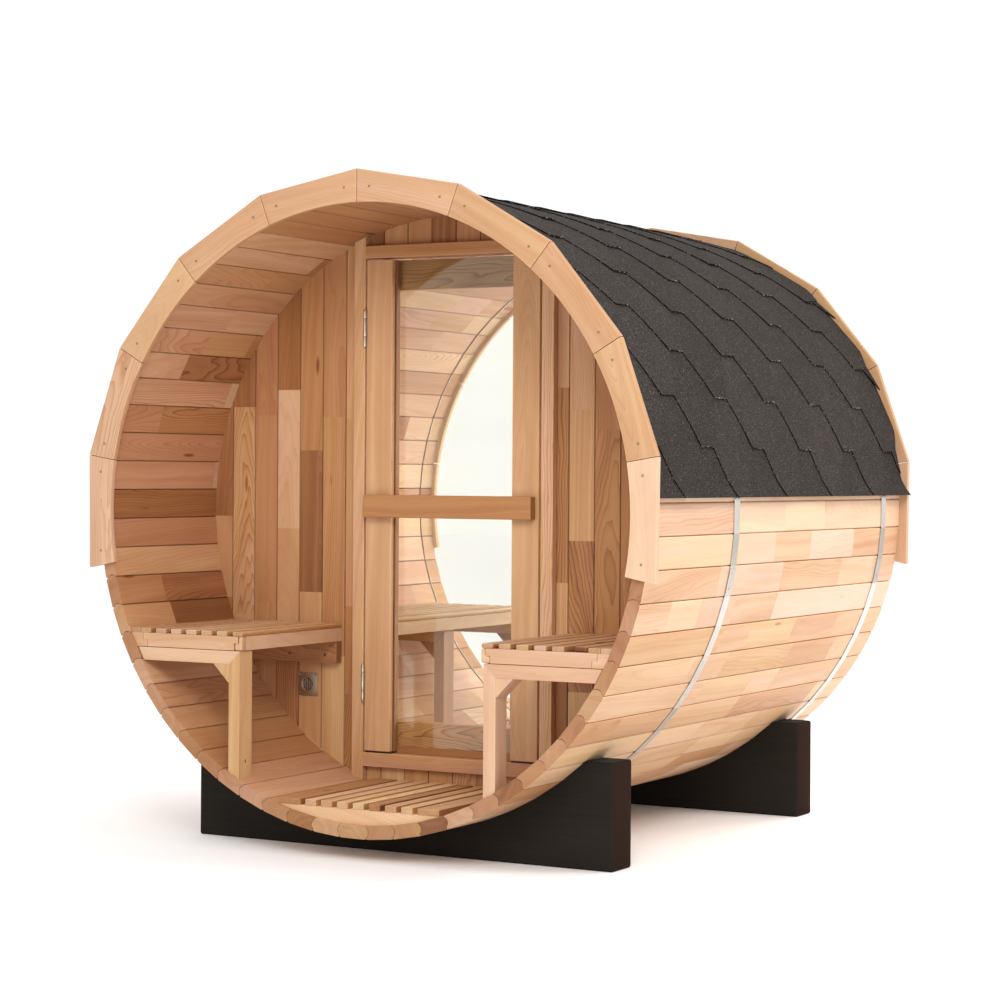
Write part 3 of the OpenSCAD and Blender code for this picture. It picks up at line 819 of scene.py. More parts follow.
def tagFelt(mesh, tone):
    tagCorners(mesh, meshArray(mesh.vertices, "co", 3)[cornerPoints(mesh)])
    tagFaces(mesh, "tone", np.full(len(mesh.polygons), tone))
    tagRims(mesh)


def tagRims(mesh):
    tagFaces(mesh, "cut", np.abs(faceNormals(mesh)[:, 2]) < 0.5)


def roofTab():
    half, wide, edge = roof["flat"] / 2, roof["wide"] / 2, (roof["pitch"] - roof["slit"]) / 2
    rise, top = roof["rise"], 2 * roof["rise"] + roof["lap"]
    outline = [(-half, 0, 0), (half, 0, 0), (wide, rise, 0), (edge, rise, 0),
               (edge, top, 0), (-edge, top, 0), (-edge, rise, 0), (-wide, rise, 0)]
    ob = outlinePiece(outline, [(0, 0, roof["thick"])])
    scoreAcross(ob, roof["tabRows"], (0, 1, 0))
    return ob


def flareAt(s, y):
    rear = roof["rearFlare"] * max(0.0, (y - roof["rearFrom"]) / (roof["endY"] - roof["rearFrom"])) ** 2
    return (roof["flare"] + rear) * max(0.0, 1 - s / roof["flareReach"]) ** 2


def bendTab(mesh, midY, start, side, rnd):
    # wraps a flat tab round the barrel, resting on the courses under it; corners curl, most at the rear
    tagFelt(mesh, rnd.random())
    curlLeft, curlRight = rnd.uniform(0, roof["curl"]), rnd.uniform(0, roof["curl"])
    skew = rnd.uniform(-roof["skew"], roof["skew"])
    for vertex in mesh.vertices:
        y, s, h = vertex.co
        lift = 2 * roof["thick"] * max(0.0, 1 - s / (2 * roof["rise"]))
        share = (y + roof["wide"] / 2) / roof["wide"]
        curl = (curlLeft * (1 - share) + curlRight * share) * max(0.0, 1 - s / roof["curlReach"])
        if 0 < start < roof["curlTop"]:
            behind = max(0.0, (midY + y - roof["curlFrom"]) / (roof["endY"] - roof["curlFrom"]))
            curl += roof["rearCurl"] * behind * max(0.0, 1 - s / roof["rise"])
        radius = roof["deckR"] + lift + curl + h + flareAt(start + s, midY + y)
        turn = eaveTurn + (start + s + skew * y / roof["skewAt"]) / roofR
        vertex.co = onRoof(side, radius, turn, midY + y)
    if side < 0:
        mesh.flip_normals()


def tabCrumbs(grit, midY, start, side, rnd):
    # torn felt and loose grains along the foot of a tab
    made = []
    for _ in range(rnd.randint(2, roof["crumbs"]) if start else 0):
        y = midY + rnd.uniform(-0.5, 0.5) * roof["flat"]
        radius = roof["deckR"] + roof["onTop"] * roof["thick"] + rnd.uniform(0, roof["crumbLift"])
        turn = eaveTurn + (start + rnd.uniform(*roof["crumbDrift"])) / roofR
        size = [rnd.uniform(*span) for span in roof["crumbSize"]]
        if abs(y) < roof["endY"] - roof["crumbEnd"]:
            at = Matrix.Translation(onRoof(side, radius, turn, y))
            made.append(copyOf(grit, at @ Matrix.Diagonal((*size, 1))))
    return made


def roofStarter(side):
    # the strip under the lowest course, as high as the tabs' undersides
    endY, thick, rearFrom = roof["endY"], roof["thick"], roof["rearFrom"]
    ob = boxPiece((-endY, 0, 0), (endY, roof["rise"] + roof["starterLap"], thick))
    scoreAcross(ob, roof["starterRows"], (0, 1, 0))
    stretch = (endY - rearFrom) / roof["starterCuts"]
    scoreAcross(ob, [rearFrom + k * stretch for k in range(roof["starterCuts"])], (1, 0, 0))
    tagRims(ob.data)
    for vertex in ob.data.vertices:
        y, s, h = vertex.co
        top = 2 * thick * (1 - s / (2 * roof["rise"])) - hair
        radius = roof["deckR"] + flareAt(s, y) + (top if h > thick / 2 else 0)
        vertex.co = onRoof(side, radius, eaveTurn + s / roofR, y)
    if side < 0:
        ob.data.flip_normals()
    return ob


def makeRoofSide(side, name):
    rnd = random.Random(roof["seed"] + side)
    blank, half, endY = roofTab(), roof["pitch"] / 2, roof["endY"]
    clearSelection()
    bpy.ops.mesh.primitive_ico_sphere_add(subdivisions=1, radius=roof["crumb"])
    grit = bpy.context.object
    tabs, crumbs = [], []
    for course in range(roof["courses"]):
        start = course * roof["rise"]
        midY = (roof["evenY"] if course % 2 == 0 else roof["oddY"]) - roof["pitch"]
        while midY - half < endY:
            if midY + half > -endY:
                tab = copyOf(blank)
                bendTab(tab.data, midY + rnd.uniform(-roof["jitter"], roof["jitter"]), start, side, rnd)
                for end in (-1, 1):
                    if end * midY + half > endY:
                        trim(tab, (0, end * endY, 0), (0, end, 0))
                if course >= roof["courses"] - roof["ridgeCourses"]:
                    trim(tab, (0, 0, 0), (-side, 0, 0))
                tabs.append(tab)
                crumbs += tabCrumbs(grit, midY, start, side, rnd)
            midY += roof["pitch"]
    drop(blank, grit)
    tabs.append(roofStarter(side))
    placePiece(name, tabs, "roof_shingles", shingleFelt, smooth=roof["smooth"])
    placePiece(name + "Crumbs", crumbs, None, feltCrumbs)


def makeRidge():
    rnd = random.Random(roof["seed"])
    half, long, thick = roof["capWidth"] / 2, roof["capRise"] + roof["capLap"], roof["thick"]
    blank = boxPiece((-half, 0, 0), (half, long, thick))
    scoreAcross(blank, [half * k / 4 for k in range(-3, 4)], (1, 0, 0))
    caps, y = [], -roof["endY"]
    while y < roof["endY"] - roof["lastCap"]:
        cap = copyOf(blank)
        tagFelt(cap.data, rnd.random())
        for vertex in cap.data.vertices:
            across, forward, h = vertex.co
            radius = roof["deckR"] + h + thick * (roof["onTop"] + roof["capTilt"] * (1 - forward / long))
            vertex.co = onRoof(1, radius, math.pi / 2 - across / roofR, y + forward)
        if y + long > roof["endY"]:
            trim(cap, (0, roof["endY"], 0), (0, 1, 0))
        caps.append(cap)
        y += roof["capRise"]
    drop(blank)
    placePiece("ridgeCaps", caps, "roof_shingles", shingleFelt, smooth=roof["smooth"])


makeRoofSide(1, "rightShingles")
makeRoofSide(-1, "leftShingles")
makeRidge()
print("roof made")

# Front wall: upright tongue-and-groove boards round the door frame
wall = {
    "boardWidth": 0.0845, "firstJoint": 0.388, "joints": 6, "lastEdge": 0.885, "middleJoints": (-3, 4),
    "jambOut": 0.3465, "jambIn": 0.3065, "jambW": 0.040, "groove": 0.0022, "groovePaintedShade": -4.0, "ease": 0.002,
    "shortest": 0.22, "longest": 0.75, "headerZ": (1.73613, 1.77413), "sillZ": (0.19987, 0.24187), "seed": 90,
    "tones": (0.40, 0.48, 0.54, 0.58, 0.61, 0.64, 0.70, 0.80), "darkTones": (0.54, 0.60, 0.66, 0.74),
    # the header is stained darker than the sill as painted shade under the roof
    "frameTones": (0.28, 0.31, 0.35), "headerTones": (0.58, 0.62), "sillTones": (0.40, 0.43),
    "tints": (0.45, 1.0), "frameTints": (0.6, 1.0),
}


def wallBoards(name, node, marks, zLow, zHigh, tones, rnd):
    boards = []
    for x0, x1 in zip(marks[:-1], marks[1:]):
        cuts = blockCuts(rnd, zLow, zHigh, wall["shortest"], wall["longest"])
        low, high = sorted((x0, x1))
        # the V-grooves between the boards are darkened as painted shade
        boards.append(board((low, wallY, zLow), (high, wallBackY, zHigh), "z", rnd, tones, wall["groove"],
                            bored=bore, cuts=cuts, segments=1, edgeShade=wall["groovePaintedShade"],
                            tints=wall["tints"]))
    placePiece(name, boards, node, wallCedar)


def makeWall():
    rnd = random.Random(wall["seed"])
    bottom, top, width, jambIn = axisZ - past, axisZ + past, wall["boardWidth"], wall["jambIn"]
    right = [wall["firstJoint"] + i * width for i in range(wall["joints"])]
    right = [wall["jambOut"], *right, wall["lastEdge"]]
    middle = [-jambIn, *(i * width for i in range(*wall["middleJoints"])), jambIn]
    for part, node, marks, low, high, tones in (
        ("Left", "left", [-x for x in right], bottom, top, "tones"),
        ("Right", "right", right, bottom, top, "tones"),
        ("OverDoor", "over_door", middle, wall["headerZ"][1], top, "darkTones"),
        ("UnderDoor", "under_door", middle, bottom, wall["sillZ"][0], "tones"),
    ):
        wallBoards("frontWall" + part, "front_wall_" + node, marks, low, high, wall[tones], rnd)
    posts = [board((x, frameY, bottom), (x + wall["jambW"], wallBackY, top), "z", rnd, wall["frameTones"],
                   wall["ease"], bored=bore, tints=wall["frameTints"]) for x in (-wall["jambOut"], jambIn)]
    placePiece("doorJambs", posts, "door_jambs", wallCedar)
    for name, node, part in (("doorHeader", "door_header", "header"), ("doorSill", "door_sill", "sill")):
        z0, z1 = wall[part + "Z"]
        beam = board((-jambIn, frameY, z0), (jambIn, wallBackY, z1), "x", rnd, wall[part + "Tones"],
                     wall["ease"])
        placePiece(name, [beam], node, wallCedar)
    print("front wall made")


makeWall()

# Door: two stiles in front of the glass, two rails behind it, and a plain bar across
door = {
    "x": (-0.3005, 0.2995), "z": (0.24787, 1.73013), "stileW": 0.090, "stileT": 0.038, "inset": 0.020,
    "railH": 0.090, "glassY": (-0.3668, -0.3596), "glassEase": 0.0008, "railY": (-0.359, -0.331),
    "ease": 0.0022, "seed": 14, "barZ": (0.954, 1.022), "barT": 0.030, "barGap": 0.010, "barEase": 0.003,
    "stileTones": (0.38, 0.42), "railTones": ((0.66, 0.68), (0.50, 0.52)), "barTones": (0.62, 0.65),
    "railFigure": (2.6, 3.2), "stileTints": (0.4, 0.7), "railTints": (0.95, 1.0), "barTints": (0.9, 1.0),
    # the bead tones are dark as painted shade, and the black strips beside the beads and under the stiles are
    # painted shade
    "beadW": 0.006, "beadY": -0.386, "beadEase": 0.0012, "beadShadeTones": (0.80, 0.84), "beadOff": 0.0001,
    "footBead": 0.016, "footY": -0.373, "footShadeTones": (0.74, 0.77), "shadeStripW": 0.002, "shadeStripT": 0.0012,
    "shadeStripEase": 0.0004, "gapFloorZ": 0.2425, "shadeStripY": (-0.399, -0.334), "shadeStripIn": 0.003,
}


def placeOnDoor(name, parts, node, material):
    placePiece(name, parts, node, material, "door")


def makeDoor():
    rnd = random.Random(door["seed"])
    (x0, x1), (z0, z1), inset = door["x"], door["z"], door["inset"]
    (railY0, railY1), railH, ease = door["railY"], door["railH"], door["ease"]
    stiles = [board((x, frameY, z0), (x + door["stileW"], frameY + door["stileT"], z1), "z", rnd,
                    door["stileTones"], ease, tints=door["stileTints"]) for x in (x0, x1 - door["stileW"])]
    placeOnDoor("doorStiles", stiles, "door_stiles", doorCedar)
    rails = [board((x0 + inset, railY0, z), (x1 - inset, railY1, z + railH), "x", rnd, tones, ease,
                   figures=door["railFigure"], tints=door["railTints"])
             for z, tones in zip((z0, z1 - railH), door["railTones"])]
    placeOnDoor("doorRails", rails, "door_rails", doorCedar)
    (glassY0, glassY1), (barZ0, barZ1) = door["glassY"], door["barZ"]
    pane = boxPiece((x0 + inset, glassY0, z0), (x1 - inset, glassY1, z1), door["glassEase"])
    pane.visible_shadow = False
    placeOnDoor("doorPane", [pane], "door_glass", doorGlass)
    bar = board((x0 + door["barGap"], frameY - door["barT"], barZ0), (x1 - door["barGap"], frameY, barZ1),
                "x", rnd, door["barTones"], door["barEase"], segments=3, tints=door["barTints"])
    placeOnDoor("doorBar", [bar], "door_handle", handleCedar)
    makeDoorTrim(rnd, (x0 + door["stileW"], x1 - door["stileW"]), glassY0 - door["beadOff"])
    print("door made")


def makeDoorTrim(rnd, inner, glassFront):
    # beads that hold the glass between the stiles, stained dark as painted shade, and black strips of painted
    # shade beside them and in the gap under the stiles
    (x0, x1), (z0, z1), beadY, gapFloorZ = door["x"], door["z"], door["beadY"], door["gapFloorZ"]
    beadEase, shadeStripEase, tints = door["beadEase"], door["shadeStripEase"], door["railTints"]
    beads, shadeStrips = [], []
    for edge, turn in zip(inner, (1, -1)):
        low, high = sorted((edge, edge + turn * door["beadW"]))
        beads.append(board((low, beadY, z0), (high, glassFront, z1), "z", rnd, door["beadShadeTones"], beadEase,
                           tints=tints))
        # a black strip beside each bead, as painted shade in the corner
        low, high = sorted((edge, edge + turn * door["shadeStripW"]))
        shadeStrips.append(boxPiece((low, beadY - door["shadeStripT"], z0), (high, beadY, z1), shadeStripEase))
    beads.append(board((inner[0] + door["beadW"], door["footY"], gapFloorZ),
                       (inner[1] - door["beadW"], glassFront, z0 + door["footBead"]),
                       "x", rnd, door["footShadeTones"], beadEase, tints=tints))
    placeOnDoor("doorBeads", beads, None, doorCedar)
    # black strips filling the gap under the stiles, as painted shade
    stripY0, stripY1 = door["shadeStripY"]
    for low, high in ((x0 + door["shadeStripIn"], inner[0]), (inner[1], x1 - door["shadeStripIn"])):
        shadeStrips.append(boxPiece((low, stripY0, gapFloorZ), (high, stripY1, z0 - hair), shadeStripEase))
    placeOnDoor("doorShadeStrips", shadeStrips, None, blackSeal)


makeDoor()

# Rear window: one round pane between two thin rubber lips
rear = {"y": 0.825, "paneR": 0.874, "paneT": 0.004, "paneEase": 0.0008, "lipW": 0.0010, "lipH": 0.0018}


def makeRearWindow():
    pane = facetedDrum(rear["paneR"], rear["paneT"], rear["y"])
    easeEdges(pane, rear["paneEase"], 1, 50)
    pane.visible_shadow = False
    placePiece("rearPane", [pane], "rear_glass", rearGlass)
    reach = (rear["paneT"] + rear["lipW"]) / 2
    rims = [facetedRing(barrel["innerR"] - hair, rear["lipW"], rear["y"] + side * reach, rear["lipH"], -1)
            for side in (-1, 1)]
    placePiece("rearSeal", rims, "rear_glass_seal", blackSeal)
    print("rear window made")


makeRearWindow()

# Hinges: polished knuckles on the front, leaves in the gap beside the door
hinge = {
    "x": -0.3035, "y": -0.410, "radius": 0.005, "sides": 32, "ease": 0.0005, "tall": 0.110,
    "starts": (0.39787, 1.47013), "marks": (0.27, 0.77), "leafT": 0.002, "leafD": 0.028,
    "jambX": -0.3065, "doorX": -0.3025, "gap": 0.0003, "tip": 0.004, "tipR": 0.0043, "tipEase": 0.0019,
}


def hingeKnuckle(leafX, z0, z1):
    middle = (hinge["x"], hinge["y"], (z0 + z1) / 2)
    knuckle = tubePiece(middle, hinge["radius"], z1 - z0, hinge["sides"], axis="Z")
    easeEdges(knuckle, hinge["ease"], 2, 50)
    return [knuckle, boxPiece((leafX, hinge["y"], z0), (leafX + hinge["leafT"], frameY + hair, z1))]


def hingeTip(z):
    tip = tubePiece((hinge["x"], hinge["y"], z), hinge["tipR"], hinge["tip"], hinge["sides"], axis="Z")
    easeEdges(tip, hinge["tipEase"], 4, 50)
    return tip


def makeHinges():
    fixed, moving = [], []
    jambX, doorX, gap = hinge["jambX"], hinge["doorX"], hinge["gap"]
    for z0 in hinge["starts"]:
        z3 = z0 + hinge["tall"]
        z1, z2 = (z0 + share * hinge["tall"] for share in hinge["marks"])
        for parts, leafX in ((fixed, jambX), (moving, doorX)):
            parts.append(boxPiece((leafX, frameY, z0), (leafX + hinge["leafT"], frameY + hinge["leafD"], z3)))
        fixed += hingeKnuckle(jambX, z0, z1 - gap) + hingeKnuckle(jambX, z2 + gap, z3)
        fixed += [hingeTip(z0), hingeTip(z3)]
        moving += hingeKnuckle(doorX, z1 + gap, z2 - gap)
    placePiece("hingeJambLeaves", fixed, "hinge_jamb_leaves", hingeSteel, smooth=30)
    placePiece("hingeDoorLeaves", moving, "hinge_door_leaves", hingeSteel, "door", smooth=30)
    print("hinges made")


makeHinges()

# Vent: a square plate with a round slotted rose and a screw at each corner
vent = {
    "x": -0.521, "z": 0.437, "half": 0.036, "thick": 0.003, "plateEase": 0.001, "rim": 0.025, "roseSides": 40,
    "roseInsets": ((0.005, 0), (0.0012, -0.0022)), "roseEase": 0.0005, "slots": 5, "slotPitch": 0.0066,
    "slotHalf": 0.0017, "slotIn": 0.008, "slotY": (0.0026, 0.0004), "slotEase": 0.0006, "screw": 0.0035,
    "inset": 0.006, "screwOut": 0.0004, "wellIn": 0.0068, "wellT": 0.0006, "wellSides": 32,
}


def makeVent():
    x, z, half, front = vent["x"], vent["z"], vent["half"], wallY - vent["thick"]
    plate = boxPiece((x - half, front, z - half), (x + half, wallY, z + half), vent["plateEase"])
    rose = tubePiece((x, front - vent["thick"] / 2, z), vent["rim"], vent["thick"], vent["roseSides"])
    insetEnd(rose, -1, *vent["roseInsets"])
    easeEdges(rose, vent["roseEase"], 2, 50)
    parts = [plate, rose]
    for i in range(vent["slots"]):
        u = (i - (vent["slots"] - 1) / 2) * vent["slotPitch"]
        tall = math.sqrt((vent["rim"] - vent["slotIn"]) ** 2 - u ** 2)
        low = (x + u - vent["slotHalf"], front - vent["slotY"][0], z - tall)
        high = (x + u + vent["slotHalf"], front - vent["slotY"][1], z + tall)
        parts.append(boxPiece(low, high, vent["slotEase"]))
    reach = half - vent["inset"]
    screws = [screwHead((x + sx * reach, front - vent["screwOut"], z + sz * reach), vent["screw"], -1)
              for sx in (-1, 1) for sz in (-1, 1)]
    placePiece("ventScrews", screws, None, hingeSteel)
    placePiece("wallVent", parts, "wall_vent", ventSteel, smooth=30)
    # a black disc behind the slots stands in for the shade in the vent opening: painted shade
    deep = vent["wellT"]
    shadeDisc = tubePiece((x, front - deep, z), vent["rim"] - vent["wellIn"], deep, vent["wellSides"])
    placePiece("ventShadeDisc", [shadeDisc], None, blackSeal)
    print("vent made")


makeVent()

# Benches: slats on rails, carried by mitred leg frames and a ledger on the wall
seat = {
    "edgeX": 0.398, "topZ": 0.628, "slats": 7, "slatW": 0.037, "pitch": 0.055, "slatT": 0.014, "railH": 0.040,
    "railT": 0.019, "legX": 0.407, "legW": 0.038, "legD": 0.063, "legFrom": 0.1, "gusset": 0.054,
    "ledgerH": 0.066, "ledgerT": 0.030, "ledgerIn": 0.0005,
    "porchY": (-0.895, wallY), "innerY": (wallBackY, 0.792),
    "innerLegs": (0.230, 0.729), "seed": 63, "ledgerTones": (0.54, 0.60), "ledgerTints": (0.4, 1.0),
    "screw": 0.0045, "screwX": (0.440, 0.570), "screwDrop": 0.042, "frameDrop": 0.0018,
    "capX": (0.014, 0.028), "wedgeX": (0.755, 0.739), "jointGap": 0.0012, "corner": 0.006,
    "slatEase": 0.0035, "fillerEase": 0.0020, "stepEase": 0.0008, "backEase": 0.0012, "ease": 0.0015,
    "legEase": 0.0018, "gussetEase": 0.0010, "brokenSlat": 5, "brokenBack": 0.026, "brokenShade": 0.42,
    "slatSidePaintedShade": 0.22, "holeUp": 0.052, "holeR": 0.0028, "holeDeep": 0.03, "holeLean": 62.0,
}
porchWood = {
    "slatTones": (0.24, 0.28, 0.32, 0.38), "slatTints": (0.2, 0.9), "frameTints": (0.2, 0.6),
    "frameTones": {-1: (0.34, 0.36, 0.38), 1: (0.29, 0.32, 0.34)},
    "legTones": {-1: (0.36, 0.38), 1: (0.27, 0.29)},
    "legTints": {-1: (0.75, 1.0), 1: (0.1, 0.3)}, "figures": (0.2, 0.3, 0.4),
}
# the inner bench's legs are much darker than its frame: painted shade
innerWood = {
    "slatTones": (0.30, 0.33, 0.36), "slatTints": (0.7, 1.0), "frameTints": (0.7, 1.0),
    "frameTones": {-1: (0.31, 0.34, 0.37)}, "legTones": {-1: (0.62, 0.65)}, "legTints": {-1: (0.6, 1.0)},
    "figures": (0.2, 0.3, 0.4),
}
railTop = seat["topZ"] - seat["slatT"]
seatLow = railTop - seat["railH"]
frameTop = seatLow - seat["frameDrop"]


def sideBox(side, x0, x1, y0, y1, z0, z1):
    xs = sorted((side * x0, side * x1))
    return (xs[0], y0, z0), (xs[1], y1, z1)


def frameGrain(wood):
    return {"figures": wood["figures"], "tints": wood["frameTints"]}


def legGrain(side, wood):
    return {"figures": wood["figures"], "tints": wood["legTints"][side]}


def seatSlats(side, y0, y1, rnd, wood, broken=None):
    made, tones, tints = [], wood["slatTones"], wood["slatTints"]
    for i in range(seat["slats"]):
        x = seat["edgeX"] + i * seat["pitch"]
        start = y0 + seat["brokenBack"] if i == broken else y0
        box = sideBox(side, x, x + seat["slatW"], start, y1, railTop, seat["topZ"])
        corner = (side * x, y0, seat["corner"]) if i == 0 else None
        slat = board(*box, "y", rnd, tones, seat["slatEase"], segments=3, tints=tints, corner=corner)
        normals = faceNormals(slat.data)
        # painted shade on the slat sides
        deepen(slat, np.abs(normals[:, 0]) > 0.7, seat["slatSidePaintedShade"])
        # the set-back end of the broken slat is darker: rough-cut end and painted shade
        if i == broken:
            deepen(slat, normals[:, 1] < -0.3, seat["brokenShade"])
        made.append(slat)
    box = sideBox(side, x + seat["slatW"] + seat["jointGap"], past, y0, y1, railTop, seat["topZ"])
    return made + [board(*box, "y", rnd, tones, seat["fillerEase"], bored=bore, tints=tints)]


def steppedBlock(side, y, startX, endX, rnd, wood, rounded=False):
    # a length of front rail whose ends step half-way up: each end gives x for its upper and lower half
    half = (seatLow + railTop) / 2
    ring = [(startX[1], seatLow), (endX[1], seatLow), (endX[1], half), (endX[0], half),
            (endX[0], railTop), (startX[0], railTop), (startX[0], half), (startX[1], half)]
    ring = [p for i, p in enumerate(ring) if p != ring[i - 1]]
    ob = outlinePiece([(side * x, y, z) for x, z in ring], [(0, seat["railT"], 0)])
    if rounded:
        roundCorner(ob, side * startX[0], y, seat["corner"])
    easeEdges(ob, seat["stepEase"], 1)
    carve(ob, bore, "INTERSECT")
    tagGrain(ob, axisOf["x"], axisOf["z"], rnd, wood["frameTones"][side], **frameGrain(wood))
    return ob


def seatRails(side, y0, y1, rnd, wood):
    gap, wedge = seat["jointGap"], seat["wedgeX"]
    cap = [seat["edgeX"] + x + gap for x in seat["capX"]]
    made = [steppedBlock(side, y0, cap, wedge, rnd, wood),
            steppedBlock(side, y0, [x + gap for x in wedge], [past, past], rnd, wood)]
    box = sideBox(side, seat["edgeX"] + seat["railT"], past, y1 - seat["railT"], y1, seatLow, railTop)
    return made + [board(*box, "x", rnd, wood["frameTones"][side], seat["backEase"], bored=bore)]


def seatApron(side, y0, y1, rnd, wood):
    edgeX, railT = seat["edgeX"], seat["railT"]
    cap = steppedBlock(side, y0, [edgeX] * 2, [edgeX + x for x in seat["capX"]], rnd, wood, rounded=True)
    box = sideBox(side, edgeX, edgeX + railT, y0 + railT, y1, seatLow, railTop)
    return [cap, board(*box, "y", rnd, wood["frameTones"][side], seat["ease"], **frameGrain(wood))]


def seatLedger(side, y0, rnd):
    box = sideBox(side, seat["edgeX"] + seat["ledgerIn"], past, y0, y0 + seat["ledgerT"],
                  seatLow - seat["ledgerH"], seatLow)
    return board(*box, "x", rnd, seat["ledgerTones"], seat["ease"], bored=bore, tints=seat["ledgerTints"])


def mitre(side, sign):
    return (side * seat["legX"], 0, frameTop), (sign * side, 0, sign)


def seatLeg(side, y, rnd, wood):
    legX, legD = seat["legX"], seat["legD"]
    box = sideBox(side, legX, legX + seat["legW"], y, y + legD, seat["legFrom"], frameTop)
    ob = board(*box, "z", rnd, wood["legTones"][side], seat["legEase"], planes=[mitre(side, 1)], bored=bore,
               **legGrain(side, wood))
    # a slanting hole for the screw that holds the leg to the staves
    foot = min(v.co.z for v in ob.data.vertices)
    drill = tubePiece((0, 0, 0), seat["holeR"], seat["holeDeep"], 16, axis="X")
    at = Matrix.Translation((side * legX, y + legD / 2, foot + seat["holeUp"]))
    drill.data.transform(at @ Matrix.Rotation(math.radians(side * seat["holeLean"]), 4, "Y"))
    tagGrain(drill, axisOf["x"], axisOf["z"], rnd, (1.0,))
    carve(ob, drill, "DIFFERENCE")
    drop(drill)
    return ob


def seatLegRail(side, y, rnd, wood):
    box = sideBox(side, seat["legX"], past, y, y + seat["legD"], frameTop - seat["legW"], frameTop)
    return board(*box, "x", rnd, wood["frameTones"][side], seat["legEase"], planes=[mitre(side, -1)],
                 bored=looseBore, **frameGrain(wood))


def seatGusset(side, y, rnd, wood):
    x, z, size = seat["legX"] + seat["legW"], frameTop - seat["legW"], seat["gusset"]
    box = sideBox(side, x, x + size, y, y + seat["legD"], z - size, z)
    plane = ((side * (x + size), 0, z), (side, 0, -1))
    return board(*box, "z", rnd, wood["legTones"][side], seat["gussetEase"], planes=[plane],
                 **legGrain(side, wood))


def makeBench(name, node, sides, ends, ledgerY, legYs, broken, wood, rnd, several, finish):
    frames = [(side, y) for side in sides for y in legYs]
    for part, nodePart, parts in (
        ("Slats", "slats", [s for side in sides
                            for s in seatSlats(side, *ends, rnd, wood, broken if side > 0 else None)]),
        ("Rails", "rails", [r for side in sides for r in seatRails(side, *ends, rnd, wood)]),
        ("Apron" + several, "apron" + several,
         [a for side in sides for a in seatApron(side, *ends, rnd, wood)]),
        ("Ledger" + several, "ledger" + several, [seatLedger(side, ledgerY, rnd) for side in sides]),
        ("Legs", "legs", [seatLeg(side, y, rnd, wood) for side, y in frames]),
        ("LegRails", "leg_rails", [seatLegRail(side, y, rnd, wood) for side, y in frames]),
        ("Gussets", "gussets", [seatGusset(side, y, rnd, wood) for side, y in frames]),
    ):
        placePiece(name + part, parts, node + nodePart, finish)


def makeBenches():
    rnd = random.Random(seat["seed"])
    sides, porchY, innerY = (-1, 1), seat["porchY"], seat["innerY"]
    front = porchY[1] - seat["ledgerT"]
    makeBench("porchBench", "porch_bench_", sides, porchY, front, porchY[:1], seat["brokenSlat"], porchWood,
              rnd, "s", benchCedar)
    makeBench("innerBench", "inner_bench_", (-1,), innerY, innerY[0], seat["innerLegs"], None, innerWood, rnd,
              "", shadedCabinCedar)
    plugs = [screwHead((side * x, front - hair, seatLow - seat["screwDrop"]), seat["screw"], -1)
             for side in sides for x in seat["screwX"]]
    placePiece("ledgerScrews", plugs, None, plugSteel)
    print("benches made")


makeBenches()

# Duckboards on the round floor
duck = {
    "narrow": 7, "narrowW": 0.037, "edgeW": 0.070, "gap": 0.0165, "lowZ": 0.1457, "thick": 0.018,
    "ease": 0.002, "bearer": 0.030, "bearerHalf": 0.4, "bearerFrom": 0.05, "bearerEase": 0.001,
    "inset": 0.002, "seed": 5, "porchY": (-0.890, wallY), "innerY": (wallBackY, 0.792),
    "tones": (0.28, 0.34, 0.40, 0.48, 0.58, 0.66), "tints": (0.5, 0.9), "bearerTones": (0.34, 0.38),
    "slatSidePaintedShade": 0.25,
}


def duckSlats(y0, y1, rnd):
    widths = [duck["edgeW"]] + [duck["narrowW"]] * duck["narrow"] + [duck["edgeW"]]
    x = -(sum(widths) + duck["gap"] * (len(widths) - 1)) / 2
    made, z0 = [], duck["lowZ"]
    for width in widths:
        slat = board((x, y0, z0), (x + width, y1, z0 + duck["thick"]), "y", rnd, duck["tones"], duck["ease"],
                     tints=duck["tints"])
        # painted shade on the slat sides
        deepen(slat, np.abs(faceNormals(slat.data)[:, 0]) > 0.7, duck["slatSidePaintedShade"])
        made.append(slat)
        x += width + duck["gap"]
    return made


def duckBearers(starts, rnd):
    half, z0, z1 = duck["bearerHalf"], duck["bearerFrom"], duck["lowZ"]
    return [board((-half, y, z0), (half, y + duck["bearer"], z1), "x", rnd, duck["bearerTones"],
                  duck["bearerEase"], bored=bore) for y in starts]


def makeDuckboards():
    rnd = random.Random(duck["seed"])
    for part in ("porch", "inner"):
        y0, y1 = duck[part + "Y"]
        starts = [y0 + duck["inset"], y1 - duck["inset"] - duck["bearer"]]
        if part == "inner":
            starts.insert(1, (y0 + y1 - duck["bearer"]) / 2)
        node = part + "_floor_"
        slats, bearers = duckSlats(y0, y1, rnd), duckBearers(starts, rnd)
        placePiece(part + "FloorSlats", slats, node + "slats", floorCedar)
        placePiece(part + "FloorBearers", bearers, node + "bearers", floorCedar)
    print("duckboards made")


makeDuckboards()
drop(bore, looseBore, drum)

# Studio: pale floor, soft light, and the camera at the photograph's angle
studio = {
    "cameraAt": (3.7952, -6.6253, 1.0909), "yaw": -0.4992, "pitch": -0.0048, "roll": 0.0069,
    "focal": 2.452587, "sensor": 36, "shift": (-0.070, -0.015), "sky": 1.06, "floorTone": 0.96,
    "floorSize": 60, "aimAt": (0, 0, 0.95),
    "keyAt": (4.6, 1.4, 4.6), "keyPower": 95, "keySize": 1.6,
    "fillAt": (3.2, -5.5, 4.2), "fillPower": 190, "fillSize": 2.2,
    "backAt": (0.6, 3.6, 1.5), "backPower": 130, "backSize": 2.6,
}


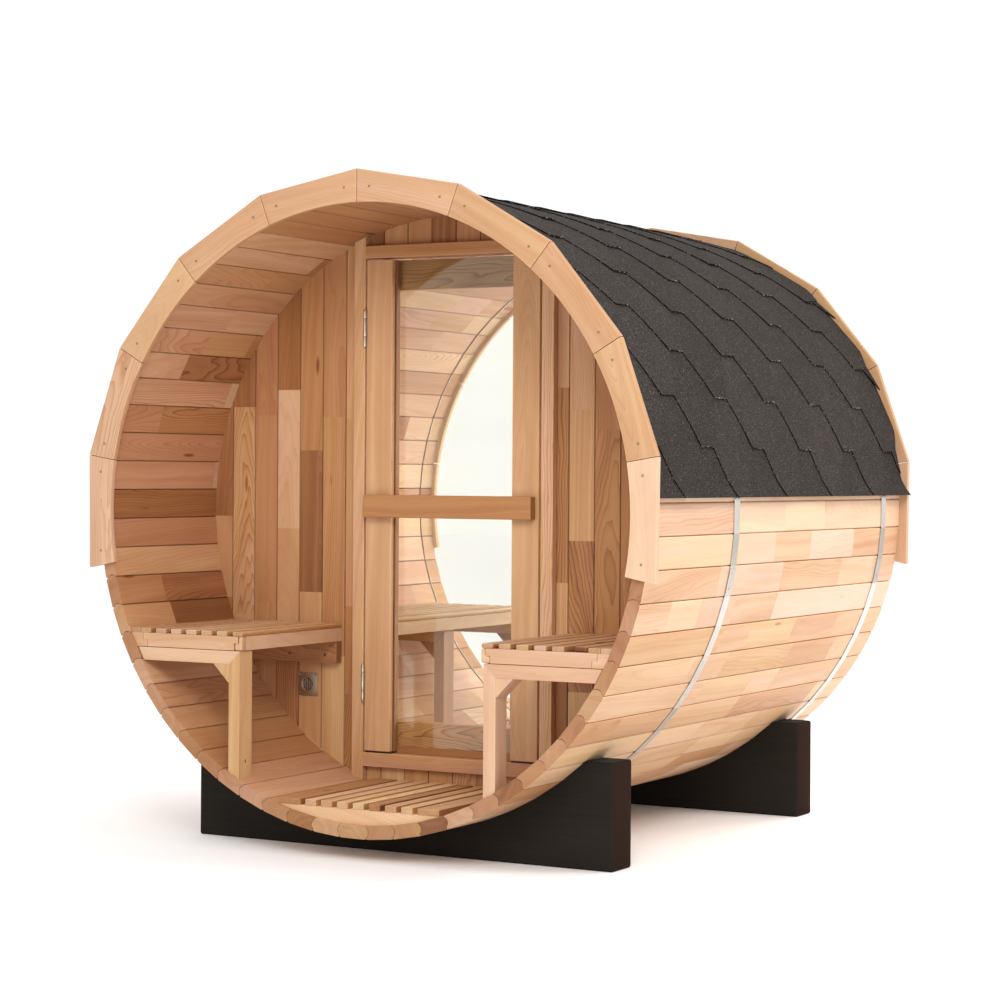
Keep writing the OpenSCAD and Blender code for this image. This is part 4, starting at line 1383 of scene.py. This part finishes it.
def areaLight(name):
    data = bpy.data.lights.new(name + "Light", "AREA")
    data.energy, data.size = studio[name + "Power"], studio[name + "Size"]
    lamp = bpy.data.objects.new(name + "Light", data)
    lamp.location = studio[name + "At"]
    lamp.visible_camera = lamp.visible_glossy = False
    lamp.rotation_euler = (Vector(studio["aimAt"]) - lamp.location).to_track_quat("-Z", "Y").to_euler()
    bpy.context.scene.collection.objects.link(lamp)


def makeRoom():
    clearSelection()
    bpy.ops.mesh.primitive_plane_add(size=studio["floorSize"], location=(0, 0, 0))
    ground = bpy.context.object
    ground.name = "studioFloor"
    tone = studio["floorTone"]
    stops = [(0.3, (tone, tone, tone)), (0.7, (tone * 1.01, tone * 1.01, tone * 1.01))]
    ground.data.materials.append(mottled("studioFloor", 0.6, 2.0, stops, 0.9, 0.0, 0.001, 0.1))
    world = bpy.data.worlds.new("softbox")
    world.use_nodes = True
    sky = world.node_tree.nodes["Background"].inputs
    sky[0].default_value, sky[1].default_value = (1, 1, 1, 1), studio["sky"]
    bpy.context.scene.world = world
    bpy.context.scene.view_settings.view_transform = "Standard"


def makeCamera():
    yaw, pitch, roll = studio["yaw"], studio["pitch"], studio["roll"]
    ahead = Vector((math.sin(yaw) * math.cos(pitch), math.cos(yaw) * math.cos(pitch), math.sin(pitch)))
    right = Vector((math.cos(yaw), -math.sin(yaw), 0))
    up = right.cross(ahead)
    right, up = right * math.cos(roll) + up * math.sin(roll), up * math.cos(roll) - right * math.sin(roll)
    lens = bpy.data.cameras.new("camera")
    lens.sensor_width, lens.lens = studio["sensor"], studio["sensor"] * studio["focal"]
    lens.shift_x, lens.shift_y = studio["shift"]
    viewer = bpy.data.objects.new("camera", lens)
    turned = Matrix((right, up, -ahead)).transposed().to_4x4()
    viewer.matrix_world = Matrix.Translation(studio["cameraAt"]) @ turned
    bpy.context.scene.collection.objects.link(viewer)
    bpy.context.scene.camera = viewer


makeRoom()
for name in ("key", "fill", "back"):
    areaLight(name)
makeCamera()
print("studio made")
